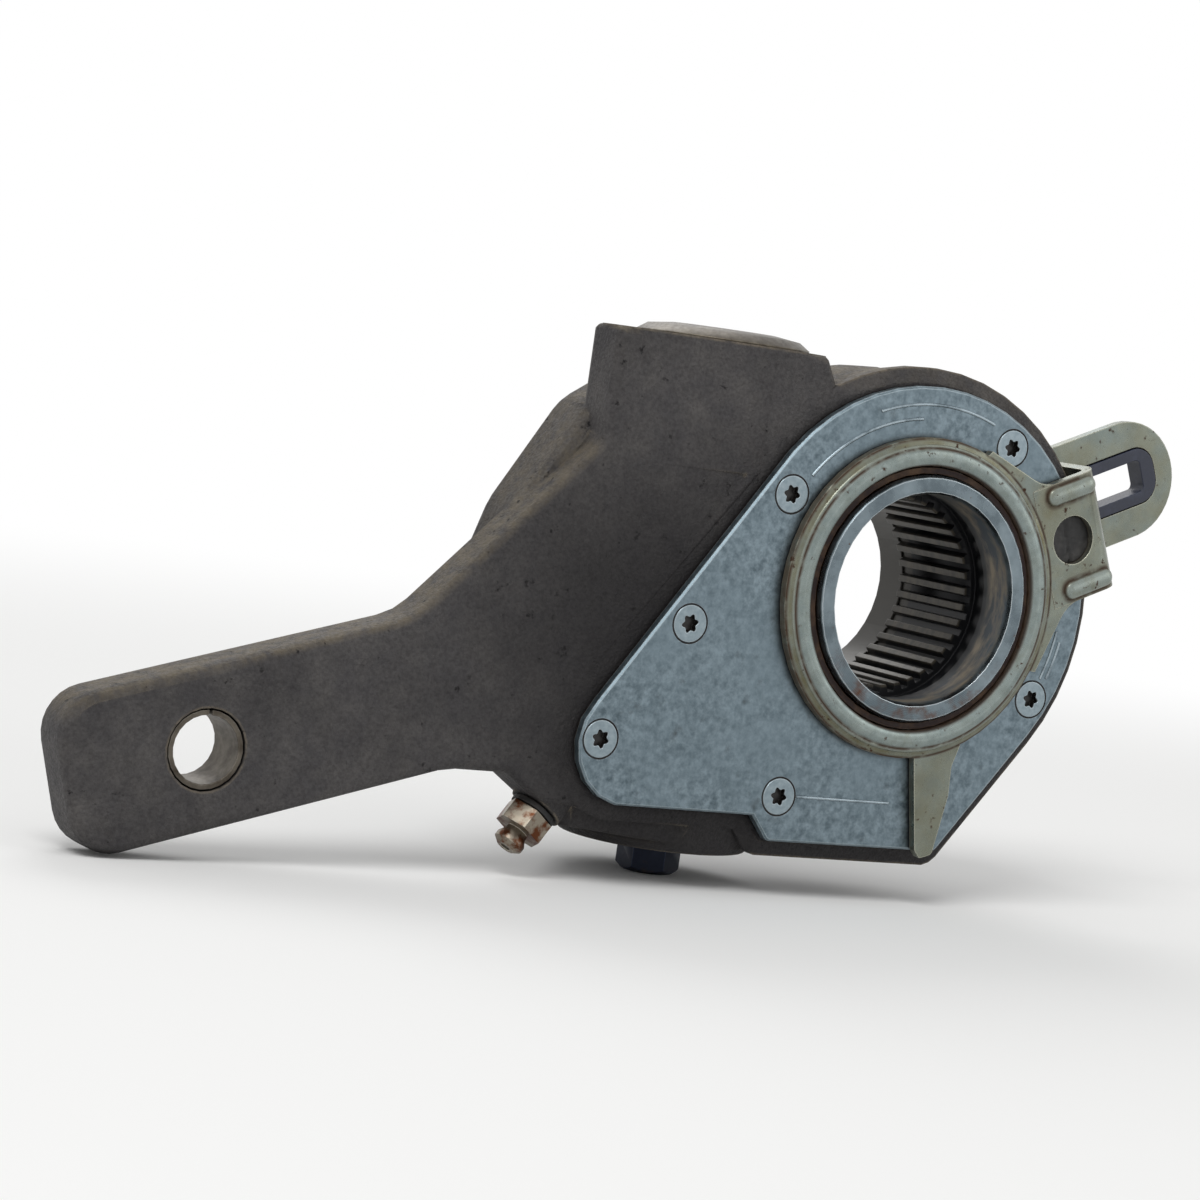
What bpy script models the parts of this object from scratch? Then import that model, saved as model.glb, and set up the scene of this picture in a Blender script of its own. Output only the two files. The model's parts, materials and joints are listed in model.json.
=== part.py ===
"""Automatic brake slack adjuster: a cast lever that turns a splined worm wheel.

Frame: the origin is on the worm wheel's axis at the middle of its width. +X points away
from the lever, +Z runs up the worm's axis and -Y is the side of the cover plate.
Lengths are in metres.
"""

import math

import bmesh
import bpy
from mathutils import Matrix, Vector

# Clearances
SEAT = 0.0003
RUN = 0.0004
OVERLAP = 0.0005

# Worm wheel and its splined bore
HUB_WIDTH = 0.045
HUB_END_R = 0.0248
BORE_MOUTH_R = 0.0215
BORE_R = 0.0210
BORE_GROOVE_R = 0.0218
REAR_BORE_R = 0.0202
SPLINE_TEETH = 37
SPLINE_TIP_R = 0.0191
SPLINE_ROOT_R = 0.02064
SPLINE_LENGTH = 0.024
SPLINE_START = 0.013
REAR_JOURNAL_R = 0.0265
HUB_CHAMFER = 0.0005

# Worm gearing
GEAR_MODULE = 0.0025
WHEEL_TEETH = 23
WHEEL_FACE = 0.014
WORM_PITCH_R = 0.00965
WORM_LENGTH = 0.026
WORM_Y = 0.005
PRESSURE_ANGLE = math.radians(20)
WHEEL_HAND = 1.0
TOOTH_ADDENDUM = 0.0023
TOOTH_DEDENDUM = 0.0031
TOOTH_BACKLASH = 0.0005
SHAFT_R = 0.0062
COLLAR_R = 0.0094
COLLAR_TOP = 0.0179
SHAFT_TOP = 0.0235
HEX_FLATS = 0.01111
HEX_LENGTH = 0.006
HEX_BOTTOM = -0.0620

# Lever
LEVER_LENGTH = 0.1524
LEVER_FALL = math.radians(15.76)
LEVER_FRONT = -0.0151
LEVER_THICKNESS = 0.0115
LEVER_WIDTH = 0.030
LEVER_END = 0.027
LEVER_TILT = math.radians(17)
LEVER_CORNER_R = 0.0085
LEVER_BEND_R = 0.014
CLEVIS_PIN_R = 0.00635
CLEVIS_BUSH_WALL = 0.0010
SHOULDER_SLOPE = math.radians(46.5)
BOSS_LEFT = -0.0735
CAST_EDGE = 0.0018
WEB_BACK = 0.0070
WEB_EDGE = 0.0026

# Casting round the gears
BOSS_R = 0.0208
LOWER_BOSS_R = 0.0205
BOSS_TOP = 0.0450
BOSS_BOTTOM = -0.0553
DRUM_FRONT_R = 0.0426
DRUM_MID_R = 0.0446
DRUM_BACK_R = 0.0425
DRUM_MID_Y = 0.006
DRUM_BACK_Y = 0.0195
PAD_LIP = 0.0006
PAD_RAMP = 0.0036

# Cover plate
COVER_FRONT = -0.0190
COVER_THICKNESS = 0.0020
GASKET_THICKNESS = 0.0004
COVER_ARC_R = 0.0422
COVER_CORNER = (-0.0602, -0.0340, 0.0120)
COVER_STEP = (-0.0300, -0.0445, 0.0015)
COVER_FOOT_LEFT = (-0.0259, -0.0494, 0.0015)
COVER_FOOT_RIGHT = (0.0133, -0.0491, 0.0018)
SCREW_PLACES = (
    (-0.0677, -0.0333),
    (-0.0515, -0.0097),
    (-0.0326, 0.0174),
    (0.0185, 0.0321),
    (0.0326, -0.0182),
    (-0.0254, -0.0419),
)
SCREW_HEAD_R = 0.0037
SCREW_R = 0.0019
SCREW_LENGTH = 0.0090
SCREW_SOCKET_R = 0.0019
SCREW_SOCKET_DEPTH = 0.0014

# Control arm, a stamping bent twice
ARM_SHEET = 0.0020
HUB_SEAL_WALL = 0.0012
HUB_SEAL_DEPTH = 0.0030
ARM_RING_EDGE = 0.0008
ARM_BEAD_R = 0.0016
ARM_RING_LIP = 0.0016
POINTER_REACH = 0.0199
ARM_ANGLE = math.radians(23.4)
ARM_HALF_WIDTH = 0.0126
ARM_WEB_CLEARANCE = 0.0014
ARM_REAR_Y = 0.0035
ARM_BEND_R = 0.0024
ARM_FLARE = 0.0110
ARM_HOLE_R = 0.0050
ARM_HOLE_INSET = 0.0083
ARM_RIB_OFFSET = 0.0100
ARM_RIB_FOOT = 0.0038
ARM_RIB_INSET = 0.0023
ARM_RIB_R = 0.0020
ARM_RIB_HEIGHT = 0.0009
SLOT_CLEARANCE = 0.0094
SLOT_LENGTH = 0.0258
SLOT_OVERRUN = 0.0080
SLOT_HALF_WIDTH = 0.00625
SLOT_CORNER_R = 0.0048
INSERT_HALF_OPENING = 0.0035
INSERT_INNER_WALL = 0.0032
INSERT_OUTER_WALL = 0.0038
INSERT_LIP = 0.0011
INSERT_LIP_DEPTH = 0.0020
ARM_SWING = math.radians(15)

# Control disc, rack and pinion
DISC_RIM = 0.0044
DISC_THICKNESS = 0.0030
DISC_NECK_WALL = 0.0020
NOTCH_HALF_WIDTH = 0.0040
LUG_HALF_HEIGHT = 0.0025
RACK_WIDTH = 0.0120
RACK_FRONT = -0.0130
RACK_TOP = -0.0216
RACK_BOTTOM = -0.0330
STEM_WIDTH = 0.0058
PINION_TEETH = 13
PINION_PITCH_R = 0.0106
PINION_ADDENDUM = 0.0011
PINION_DEDENDUM = 0.0015
PINION_BACKLASH = 0.0009
RACK_LEAN = 1.0
PINION_TOP = -0.0184
PINION_BOTTOM = -0.0337
PINION_BORE_R = 0.0080

# Bearing, spring and cap over the worm
BEARING_R = 0.0123
RACE_THICKNESS = 0.0012
CAGE_THICKNESS = 0.0024
SPRING_WIRE_R = 0.0017
SPRING_MEAN_R = 0.0128
SPRING_TURNS = 4
SPRING_SEAT_R = 0.0148
SPRING_SEAT_THICKNESS = 0.0016
CAP_R = 0.0174
CAP_RISE = 0.0026
CAP_WALL = 0.0015
CAP_SKIRT = 0.0028
O_RING_WIRE_R = 0.0009

# Clutch, bush and seal under the worm
CLUTCH_LENGTH = 0.0048
CLUTCH_WEB = 0.0014
CLUTCH_SPRING_LENGTH = 0.0132
CLUTCH_WIRE_R = 0.0005
CLUTCH_TURNS = 6
BUSH_WALL = 0.0012
SHAFT_SEAL_LENGTH = 0.0046

# Grease fitting
FITTING_SEAT = (-0.0742, -0.0093, -0.0488)
FITTING_DIRECTION = (-0.60, -0.10, -0.79)
FITTING_BOSS_R = 0.0054
FITTING_BOSS_DEPTH = 0.0160
FITTING_STEM_DEPTH = 0.0080
SPOT_FACE_R = 0.0062
FITTING_WASHER_R = 0.0047
FITTING_WASHER_THICKNESS = 0.0010
FITTING_FLATS = 0.0088
FITTING_HEX_HEIGHT = 0.0042
FITTING_NECK_R = 0.0023
FITTING_TIP_R = 0.0031
FITTING_HEIGHT = 0.0098
FITTING_BORE_R = 0.0011

# Places worked out from the sizes above
ARM_RING_INNER_R = HUB_END_R + HUB_SEAL_WALL + 2 * SEAT
ARM_BEAD_MID_R = ARM_RING_INNER_R + ARM_RING_EDGE + ARM_BEAD_R
ARM_RING_OUTER_R = ARM_BEAD_MID_R + ARM_BEAD_R + ARM_RING_LIP
JOURNAL_R = ARM_RING_INNER_R - RUN
POINTER_TIP = ARM_RING_OUTER_R + POINTER_REACH
ARM_WEB_RADIUS = DRUM_MID_R + ARM_WEB_CLEARANCE + ARM_SHEET / 2
ARM_HOLE_RADIUS = ARM_WEB_RADIUS - ARM_HOLE_INSET
ARM_RIB_START = ARM_RING_OUTER_R + ARM_RIB_FOOT
ARM_RIB_END = ARM_WEB_RADIUS - ARM_RIB_INSET
SLOT_START = DRUM_MID_R + SLOT_CLEARANCE
SLOT_END = SLOT_START + SLOT_LENGTH
ARM_TIP_RADIUS = SLOT_END - SLOT_OVERRUN
INSERT_OPENING_START = SLOT_START + INSERT_INNER_WALL
INSERT_OPENING_END = SLOT_END - INSERT_OUTER_WALL
DISC_NECK_R = ARM_RING_INNER_R + DISC_NECK_WALL
DISC_R = DISC_NECK_R + DISC_RIM
NOTCH_BOTTOM_R = DISC_NECK_R + RUN
LUG_RADIUS = (NOTCH_BOTTOM_R + DISC_R) / 2
RACK_TRAVEL = LUG_RADIUS * ARM_SWING
CLUTCH_R = PINION_PITCH_R - PINION_ADDENDUM - RUN
CLUTCH_NECK_R = CLUTCH_R - OVERLAP
HUB_FRONT = -HUB_WIDTH / 2
HUB_BACK = HUB_WIDTH / 2
WHEEL_PITCH_R = GEAR_MODULE * WHEEL_TEETH / 2
WHEEL_TIP_R = WHEEL_PITCH_R + TOOTH_ADDENDUM
WORM_X = -(WHEEL_PITCH_R + WORM_PITCH_R)
WORM_TIP_R = WORM_PITCH_R + TOOTH_ADDENDUM
WORM_ROOT_R = WORM_PITCH_R - TOOTH_DEDENDUM
WORM_LEAD = math.pi * GEAR_MODULE
WORM_CHAMBER_R = WORM_TIP_R + 2 * RUN
FACE_START = WORM_Y - WHEEL_FACE / 2
FACE_END = WORM_Y + WHEEL_FACE / 2
CLEVIS_X = -LEVER_LENGTH * math.cos(LEVER_FALL)
CLEVIS_Z = -LEVER_LENGTH * math.sin(LEVER_FALL)
LEVER_BACK = LEVER_FRONT + LEVER_THICKNESS
CLEVIS_HOLE_R = CLEVIS_PIN_R + CLEVIS_BUSH_WALL + SEAT
COVER_BACK = COVER_FRONT + COVER_THICKNESS
GASKET_FRONT = COVER_BACK + SEAT
PAD_FRONT = GASKET_FRONT + GASKET_THICKNESS + SEAT
ARM_BACK = COVER_FRONT - SEAT
ARM_FRONT = ARM_BACK - ARM_SHEET
NECK_FRONT = ARM_BACK + SEAT
DISC_FRONT = COVER_BACK + RUN
DISC_BACK = DISC_FRONT + DISC_THICKNESS
DISC_CAVITY_R = DISC_R + RUN
DISC_CAVITY_BACK = DISC_BACK + 2 * RUN
WHEEL_CAVITY_R = WHEEL_TIP_R + 2 * RUN
THREAD_TOP = WORM_LENGTH / 2
THREAD_BOTTOM = -WORM_LENGTH / 2
RACK_PITCH_Y = WORM_Y - PINION_PITCH_R
RACK_TIP_Y = RACK_PITCH_Y + PINION_ADDENDUM
RACK_ROOT_Y = RACK_PITCH_Y - PINION_DEDENDUM
STEM_BACK = WORM_Y - WORM_TIP_R - RUN
POCKET_BOTTOM = RACK_BOTTOM - RACK_TRAVEL - 2 * RUN
POCKET_TOP = LUG_HALF_HEIGHT + RACK_TRAVEL + 2 * RUN
RACK_RIGHT = WORM_X + RACK_WIDTH / 2
RACK_LEFT = WORM_X - RACK_WIDTH / 2
LUG_TIP_X = -(NOTCH_BOTTOM_R + RUN)
CHAMBER_BOTTOM = PINION_BOTTOM - SEAT
SHAFT_BORE_R = SHAFT_R + SEAT + BUSH_WALL + SEAT
LOWER_RACE = COLLAR_TOP + SEAT
CAGE_BOTTOM = LOWER_RACE + RACE_THICKNESS + SEAT
UPPER_RACE = CAGE_BOTTOM + CAGE_THICKNESS + SEAT
SPRING_SEAT_BOTTOM = UPPER_RACE + RACE_THICKNESS + SEAT
SPRING_SEAT_TOP = SPRING_SEAT_BOTTOM + 2 * SPRING_SEAT_THICKNESS
SPRING_CHAMBER_R = SPRING_SEAT_R + RUN
SPRING_CHAMBER_BOTTOM = SPRING_SEAT_BOTTOM + SPRING_SEAT_THICKNESS - RUN
CAP_BORE_R = CAP_R + SEAT
CAP_BOTTOM = BOSS_TOP - CAP_SKIRT
CAP_SHOULDER = CAP_BOTTOM - 2 * O_RING_WIRE_R - 2 * SEAT
CAP_INSIDE = BOSS_TOP + CAP_RISE - 2 * CAP_WALL
REAR_GROOVE_Y = FACE_END + 0.0042

SECTION_STEP = math.radians(12.5)
LARGE_STEPS = 48
TURNED_STEPS = 40
SMALL_STEPS = 20
TINY_STEPS = 12


def clear_scene():
    """Remove every object that the file starts with."""
    for old in list(bpy.data.objects):
        bpy.data.objects.remove(old, do_unlink=True)


def new_collection(name):
    group = bpy.data.collections.new(name)
    bpy.context.scene.collection.children.link(group)
    return group


def srgb(text):
    """Turn a colour such as #8fa0ac into the linear values that a shader reads."""
    channels = [int(text[i:i + 2], 16) / 255 for i in (1, 3, 5)]
    linear = [c / 12.92 if c <= 0.04045 else ((c + 0.055) / 1.055) ** 2.4 for c in channels]
    return (*linear, 1.0)


def new_material(name, colour, metallic, roughness):
    made = bpy.data.materials.new(name)
    made.use_nodes = True
    shader = made.node_tree.nodes["Principled BSDF"]
    shader.inputs["Base Color"].default_value = srgb(colour)
    shader.inputs["Metallic"].default_value = metallic
    shader.inputs["Roughness"].default_value = roughness
    made.diffuse_color = srgb(colour)
    return made


clear_scene()
PARTS = new_collection("brake_slack_adjuster")
CUTTERS = new_collection("cutters")

CAST_IRON = new_material("cast_iron", "#4a4644", 0.6, 0.75)
ZINC_PLATE = new_material("zinc_plate", "#8fa0ac", 1.0, 0.45)
ZINC_YELLOW = new_material("zinc_yellow", "#9b9a86", 1.0, 0.42)
HUB_STEEL = new_material("hub_steel", "#93a0a8", 1.0, 0.35)
DARK_STEEL = new_material("dark_steel", "#1a2233", 0.8, 0.45)
BRIGHT_STEEL = new_material("bright_steel", "#b7bbc0", 1.0, 0.30)
SPRING_STEEL = new_material("spring_steel", "#5a5e63", 1.0, 0.40)
BRONZE = new_material("bronze", "#9c7a4a", 1.0, 0.45)
RUBBER = new_material("rubber", "#17181a", 0.0, 0.80)
GASKET_PAPER = new_material("gasket_paper", "#3b3630", 0.0, 0.90)
DARK_NYLON = new_material("dark_nylon", "#2b2f3f", 0.0, 0.50)


def place(name, mesh, material=None):
    """Make an object of the mesh: a part where it has a material, and a cutter otherwise."""
    made = bpy.data.objects.new(name, mesh)
    if material:
        PARTS.objects.link(made)
        mesh.materials.append(material)
    else:
        CUTTERS.objects.link(made)
        made.hide_render = True
        made.display_type = "WIRE"
    return made


def mesh_of(name, shape):
    """Turn a bmesh into a mesh with smooth round sides and sharp edges."""
    bmesh.ops.recalc_face_normals(shape, faces=shape.faces)
    mesh = bpy.data.meshes.new(name)
    shape.to_mesh(mesh)
    shape.free()
    mesh.shade_smooth()
    mesh.set_sharp_from_angle(angle=math.radians(35))
    return mesh


def combine(target, operation, others):
    """Unite other objects with the target, or cut them from it, in one exact Boolean."""
    name = f"{target.name}_{operation.lower()}"
    group = bpy.data.collections.new(name)
    CUTTERS.children.link(group)
    for other in others:
        CUTTERS.objects.unlink(other)
        group.objects.link(other)
    step = target.modifiers.new(name, "BOOLEAN")
    step.solver = "EXACT"
    step.operation = operation
    step.operand_type = "COLLECTION"
    step.collection = group


def join(target, *others):
    combine(target, "UNION", others)


def cut(target, *others):
    combine(target, "DIFFERENCE", others)


def keep_within(target, other):
    """Keep only what lies inside another object."""
    step = target.modifiers.new("within_" + other.name, "BOOLEAN")
    step.operation = "INTERSECT"
    step.object = other


def turned(name, profile, material=None, steps=TURNED_STEPS):
    """Turn a closed profile of (radius, height) about local Z. It runs down its outer side."""
    mesh = bpy.data.meshes.new(name)
    points = [(radius, 0, height) for radius, height in profile]
    on_axis = profile[0][0] == 0 and profile[-1][0] == 0
    edges = [(i, i + 1) for i in range(len(points) - 1)]
    if not on_axis:
        edges.append((len(points) - 1, 0))
    mesh.from_pydata(points, edges, [])
    made = place(name, mesh, material)
    screw = made.modifiers.new("turn", "SCREW")
    screw.steps = steps
    screw.render_steps = steps
    screw.use_merge_vertices = True
    screw.merge_threshold = 0.00001
    return made


def along_y(made):
    """Turn an object about X so that its local Z runs along +Y."""
    made.rotation_euler = (-math.pi / 2, 0, 0)
    return made


def on_worm_axis(made):
    made.location = (WORM_X, WORM_Y, 0)
    return made


def ring_profile(inner, outer, low, high):
    return [(inner, high), (outer, high), (outer, low), (inner, low)]


def rod_profile(radius, low, high):
    return [(0, high), (radius, high), (radius, low), (0, low)]


def rounded(corners):
    """An outline of (x, z, radius) corners with each corner made an arc."""
    points = []
    for i, (x, z, radius) in enumerate(corners):
        here = Vector((x, z))
        before = Vector(corners[i - 1][:2]) - here
        after = Vector(corners[(i + 1) % len(corners)][:2]) - here
        if radius == 0:
            points.append(here)
            continue
        half = before.angle(after) / 2
        reach = radius / math.tan(half)
        start = here + before.normalized() * reach
        end = here + after.normalized() * reach
        centre = here + (before.normalized() + after.normalized()).normalized() * radius / math.sin(half)
        sweep = math.pi - 2 * half
        count = max(1, round(sweep / SECTION_STEP))
        first = start - centre
        turn = math.copysign(sweep, first.cross(end - centre))
        for k in range(count + 1):
            points.append(centre + Matrix.Rotation(turn * k / count, 2) @ first)
    return [(p.x, p.y) for p in points]


def prism(name, outline, low, high, material=None):
    """Extrude an outline of (x, z) points along Y from low to high."""
    shape = bmesh.new()
    face = shape.faces.new([shape.verts.new((x, low, z)) for x, z in outline])
    moved = bmesh.ops.extrude_face_region(shape, geom=[face])["geom"]
    for item in moved:
        if isinstance(item, bmesh.types.BMVert):
            item.co.y = high
    return place(name, mesh_of(name, shape), material)


def inset(corners, depth):
    """The same (x, z, radius) corners with every side of the outline moved inwards."""
    area = sum(a[0] * b[1] - b[0] * a[1] for a, b in zip(corners, corners[1:] + corners[:1]))
    way = math.copysign(1, area)
    moved = []
    for i, (x, z, radius) in enumerate(corners):
        here = Vector((x, z))
        along = (here - Vector(corners[i - 1][:2])).normalized()
        ahead = (Vector(corners[(i + 1) % len(corners)][:2]) - here).normalized()
        first = way * Vector((-along.y, along.x))
        second = way * Vector((-ahead.y, ahead.x))
        point = here + (first + second) * depth / (1 + first.dot(second))
        outward = math.copysign(1, way * along.cross(ahead))
        if radius:
            radius = max(radius - outward * depth, 0.0001)
        moved.append((point.x, point.y, radius))
    return moved


def soft_prism(name, corners, low, high, edge, material=None):
    """A prism of (x, z, radius) corners along Y, with the edges of both ends rounded."""
    middle = 1 - math.sqrt(0.5)
    layers = [(low, edge), (low + middle * edge, middle * edge), (low + edge, 0)]
    layers += [(high - edge, 0), (high - middle * edge, middle * edge), (high, edge)]
    shape = bmesh.new()
    rings = []
    for y, depth in layers:
        rings.append([shape.verts.new((x, y, z)) for x, z in rounded(inset(corners, depth))])
    for below, above in zip(rings, rings[1:]):
        for i in range(len(below)):
            shape.faces.new((below[i - 1], below[i], above[i], above[i - 1]))
    shape.faces.new(rings[0])
    shape.faces.new(rings[-1])
    return place(name, mesh_of(name, shape), material)


def hull(name, points, material=None):
    """The convex solid round some points, with its flat faces whole."""
    shape = bmesh.new()
    for point in points:
        shape.verts.new(point)
    found = bmesh.ops.convex_hull(shape, input=shape.verts)
    spare = [v for v in found["geom_interior"] if isinstance(v, bmesh.types.BMVert)]
    bmesh.ops.delete(shape, geom=spare, context="VERTS")
    bmesh.ops.dissolve_limit(
        shape, angle_limit=0.001, verts=shape.verts, edges=shape.edges
    )
    return place(name, mesh_of(name, shape), material)


def circle_points(x, z, radius, y, count):
    """Points on a circle that faces along Y."""
    return [
        (x + radius * math.cos(math.tau * k / count), y, z + radius * math.sin(math.tau * k / count))
        for k in range(count)
    ]


def flat_circle_points(x, y, radius, z, count):
    """Points on a circle that faces along Z."""
    return [
        (x + radius * math.cos(math.tau * k / count), y + radius * math.sin(math.tau * k / count), z)
        for k in range(count)
    ]


def box(name, low, high, material=None):
    shape = bmesh.new()
    bmesh.ops.create_cube(shape, size=1)
    for corner in shape.verts:
        corner.co = [a + (c + 0.5) * (b - a) for a, b, c in zip(low, high, corner.co)]
    return place(name, mesh_of(name, shape), material)


def hexagon(name, flats, low, high, material=None):
    """A hexagonal bar about Z, of a size across its flats."""
    shape = bmesh.new()
    corner_r = flats / math.sqrt(3)
    bmesh.ops.create_cone(
        shape, cap_ends=True, segments=6, radius1=corner_r, radius2=corner_r, depth=high - low
    )
    bmesh.ops.translate(shape, vec=(0, 0, (low + high) / 2), verts=shape.verts)
    return place(name, mesh_of(name, shape), material)


def arm_outline(corners):
    """Turn corners of (radial, across, radius) round to the control arm's direction."""
    turn = Matrix.Rotation(ARM_ANGLE, 2)
    turned_corners = []
    for radial, across, radius in corners:
        point = turn @ Vector((radial, across))
        turned_corners.append((point.x, point.y, radius))
    return rounded(turned_corners)


def involute(radius, base_r):
    """The angle by which an involute has turned at a radius."""
    ratio = max(radius / base_r, 1.0)
    flank = math.acos(1 / ratio)
    return math.tan(flank) - flank


def gear_outline(teeth, pitch_r, pressure, addendum, dedendum, backlash, flank_points):
    """Polar points (angle, radius) of a gear's section, with involute flanks."""
    base_r = pitch_r * math.cos(pressure)
    root_r = pitch_r - dedendum
    tip_r = pitch_r + addendum
    half_at_pitch = math.pi / (2 * teeth) - backlash / (2 * pitch_r)
    radii = [root_r + (tip_r - root_r) * k / (flank_points - 1) for k in range(flank_points)]
    points = []
    for tooth in range(teeth):
        middle = math.tau * tooth / teeth
        halves = [half_at_pitch + involute(pitch_r, base_r) - involute(r, base_r) for r in radii]
        points += [(middle - half, radius) for half, radius in zip(halves, radii)]
        points += [(middle + half, radius) for half, radius in reversed(list(zip(halves, radii)))]
    return points


def worm_outline():
    """Polar points of a one-start worm's section. The angle round it stands for length along it."""
    flat_at_pitch = math.pi * GEAR_MODULE / 4 - TOOTH_BACKLASH / 2
    slope = math.tan(PRESSURE_ANGLE)
    to_angle = math.tau / WORM_LEAD
    tip_half = (flat_at_pitch - TOOTH_ADDENDUM * slope) * to_angle
    root_half = (flat_at_pitch + TOOTH_DEDENDUM * slope) * to_angle
    points = [(tip_half * k / 2, WORM_TIP_R) for k in range(-2, 3)]
    for k in range(1, 4):
        share = k / 4
        angle = tip_half + (root_half - tip_half) * share
        points.append((angle, WORM_TIP_R + (WORM_ROOT_R - WORM_TIP_R) * share))
    rest = math.tau - 2 * root_half
    points += [(root_half + rest * k / 4, WORM_ROOT_R) for k in range(5)]
    for k in range(3, 0, -1):
        share = k / 4
        angle = math.tau - tip_half - (root_half - tip_half) * share
        points.append((angle, WORM_TIP_R + (WORM_ROOT_R - WORM_TIP_R) * share))
    return points


def twisted(name, polar, low, high, twist_rate, layers, material=None):
    """A bar along local Z whose section of polar points turns as it rises."""
    shape = bmesh.new()
    rings = []
    for layer in range(layers + 1):
        height = low + (high - low) * layer / layers
        turn = twist_rate * height
        rings.append([
            shape.verts.new((radius * math.cos(angle + turn), radius * math.sin(angle + turn), height))
            for angle, radius in polar
        ])
    count = len(polar)
    for below, above in zip(rings, rings[1:]):
        for i in range(count):
            j = (i + 1) % count
            shape.faces.new((below[i], below[j], above[j], above[i]))
    shape.faces.new(rings[0])
    shape.faces.new(rings[-1])
    return place(name, mesh_of(name, shape), material)


def coil(name, mean_r, wire_r, low, high, turns, points_per_turn, material):
    """A round wire wound about local Z with its two end turns closed."""
    curve = bpy.data.curves.new(name, "CURVE")
    curve.dimensions = "3D"
    curve.bevel_depth = wire_r
    curve.bevel_resolution = 2
    curve.use_fill_caps = True
    count = turns * points_per_turn + 1
    spline = curve.splines.new("POLY")
    spline.points.add(count - 1)
    closed = 2 * wire_r + 0.5 * SEAT
    bottom = low + wire_r
    top = high - wire_r
    for k in range(count):
        turn = k / points_per_turn
        middle = (turn - 1) / (turns - 2)
        middle = min(max(middle, 0), 1)
        ends = closed * min(turn, 1) + closed * max(turn - (turns - 1), 0)
        height = bottom + ends + middle * (top - bottom - 2 * closed)
        angle = math.tau * turn
        spline.points[k].co = (mean_r * math.cos(angle), mean_r * math.sin(angle), height, 1)
    curve.materials.append(material)
    made = bpy.data.objects.new(name, curve)
    PARTS.objects.link(made)
    return made


def o_ring(name, mean_r, wire_r, height, material):
    """A ring of round section about local Z."""
    sides = 6
    profile = [
        (mean_r - wire_r * math.cos(math.tau * k / sides), height + wire_r * math.sin(math.tau * k / sides))
        for k in range(sides)
    ]
    return turned(name, profile, material)


# Outlines of the cover plate and of the pad under it
def cover_hulls(grow):
    """The two convex outlines that make the cover's shape, as circles of (x, z, radius)."""
    drum = (0, 0, COVER_ARC_R)
    upper = (drum, COVER_CORNER, COVER_STEP)
    lower = (drum, COVER_STEP, COVER_FOOT_LEFT, COVER_FOOT_RIGHT)
    return [[(x, z, radius + grow) for x, z, radius in circles] for circles in (upper, lower)]


def cover_halves(name, layers, material=None):
    """The two halves of a slab of the cover's outline, through layers of (y, grow)."""
    halves = []
    for index in range(2):
        points = []
        for y, grow in layers:
            for x, z, radius in cover_hulls(grow)[index]:
                count = LARGE_STEPS if radius > 0.03 else 18
                points += circle_points(x, z, radius, y, count)
        halves.append(points)
    return hull(name, halves[0], material), hull(name + "_foot", halves[1])


def screw_holes(name, radius, low, high):
    """One cylinder at each cover screw, along Y."""
    holes = []
    for number, (x, z) in enumerate(SCREW_PLACES, 1):
        hole = along_y(turned(f"{name}_{number}", rod_profile(radius, low, high), steps=TINY_STEPS))
        hole.location = (x, 0, z)
        holes.append(hole)
    return holes


def lever_point(along, across):
    """A point of the lever's own frame: along it towards the worm, and across it, from the pin."""
    x = CLEVIS_X + along * math.cos(LEVER_TILT) - across * math.sin(LEVER_TILT)
    z = CLEVIS_Z + along * math.sin(LEVER_TILT) + across * math.cos(LEVER_TILT)
    return x, z


def lever_corners():
    """The corners of the lever's outline, from its pin end up to the worm's boss."""
    half = LEVER_WIDTH / 2
    shoulder = (BOSS_LEFT, 0.0227)
    on_edge = lever_point(0, half)
    slope = math.tan(SHOULDER_SLOPE)
    tilt = math.tan(LEVER_TILT)
    bend_x = (shoulder[1] - on_edge[1] + tilt * on_edge[0] - slope * shoulder[0]) / (tilt - slope)
    bend_z = on_edge[1] + tilt * (bend_x - on_edge[0])
    root_z = -0.0418
    root_along = (root_z - lever_point(0, -half)[1]) / math.sin(LEVER_TILT)
    return [
        (*lever_point(-LEVER_END, -half), LEVER_CORNER_R),
        (*lever_point(-LEVER_END, half), LEVER_CORNER_R),
        (bend_x, bend_z, LEVER_BEND_R),
        (*shoulder, 0.005),
        (BOSS_LEFT, BOSS_TOP - OVERLAP / 5, 0.0012),
        (WORM_X + BOSS_R * 0.62, BOSS_TOP - OVERLAP / 5, 0.0012),
        (WORM_X + BOSS_R, 0.0300, 0),
        (WORM_X + BOSS_R, -0.0300, 0),
        (-0.0400, -0.0440, 0),
        (-0.0660, -0.0475, 0.003),
        (-0.0755, -0.0475, 0.003),
        (-0.0840, root_z, 0.002),
        (lever_point(root_along, -half)[0], root_z, 0.012),
    ]


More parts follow.
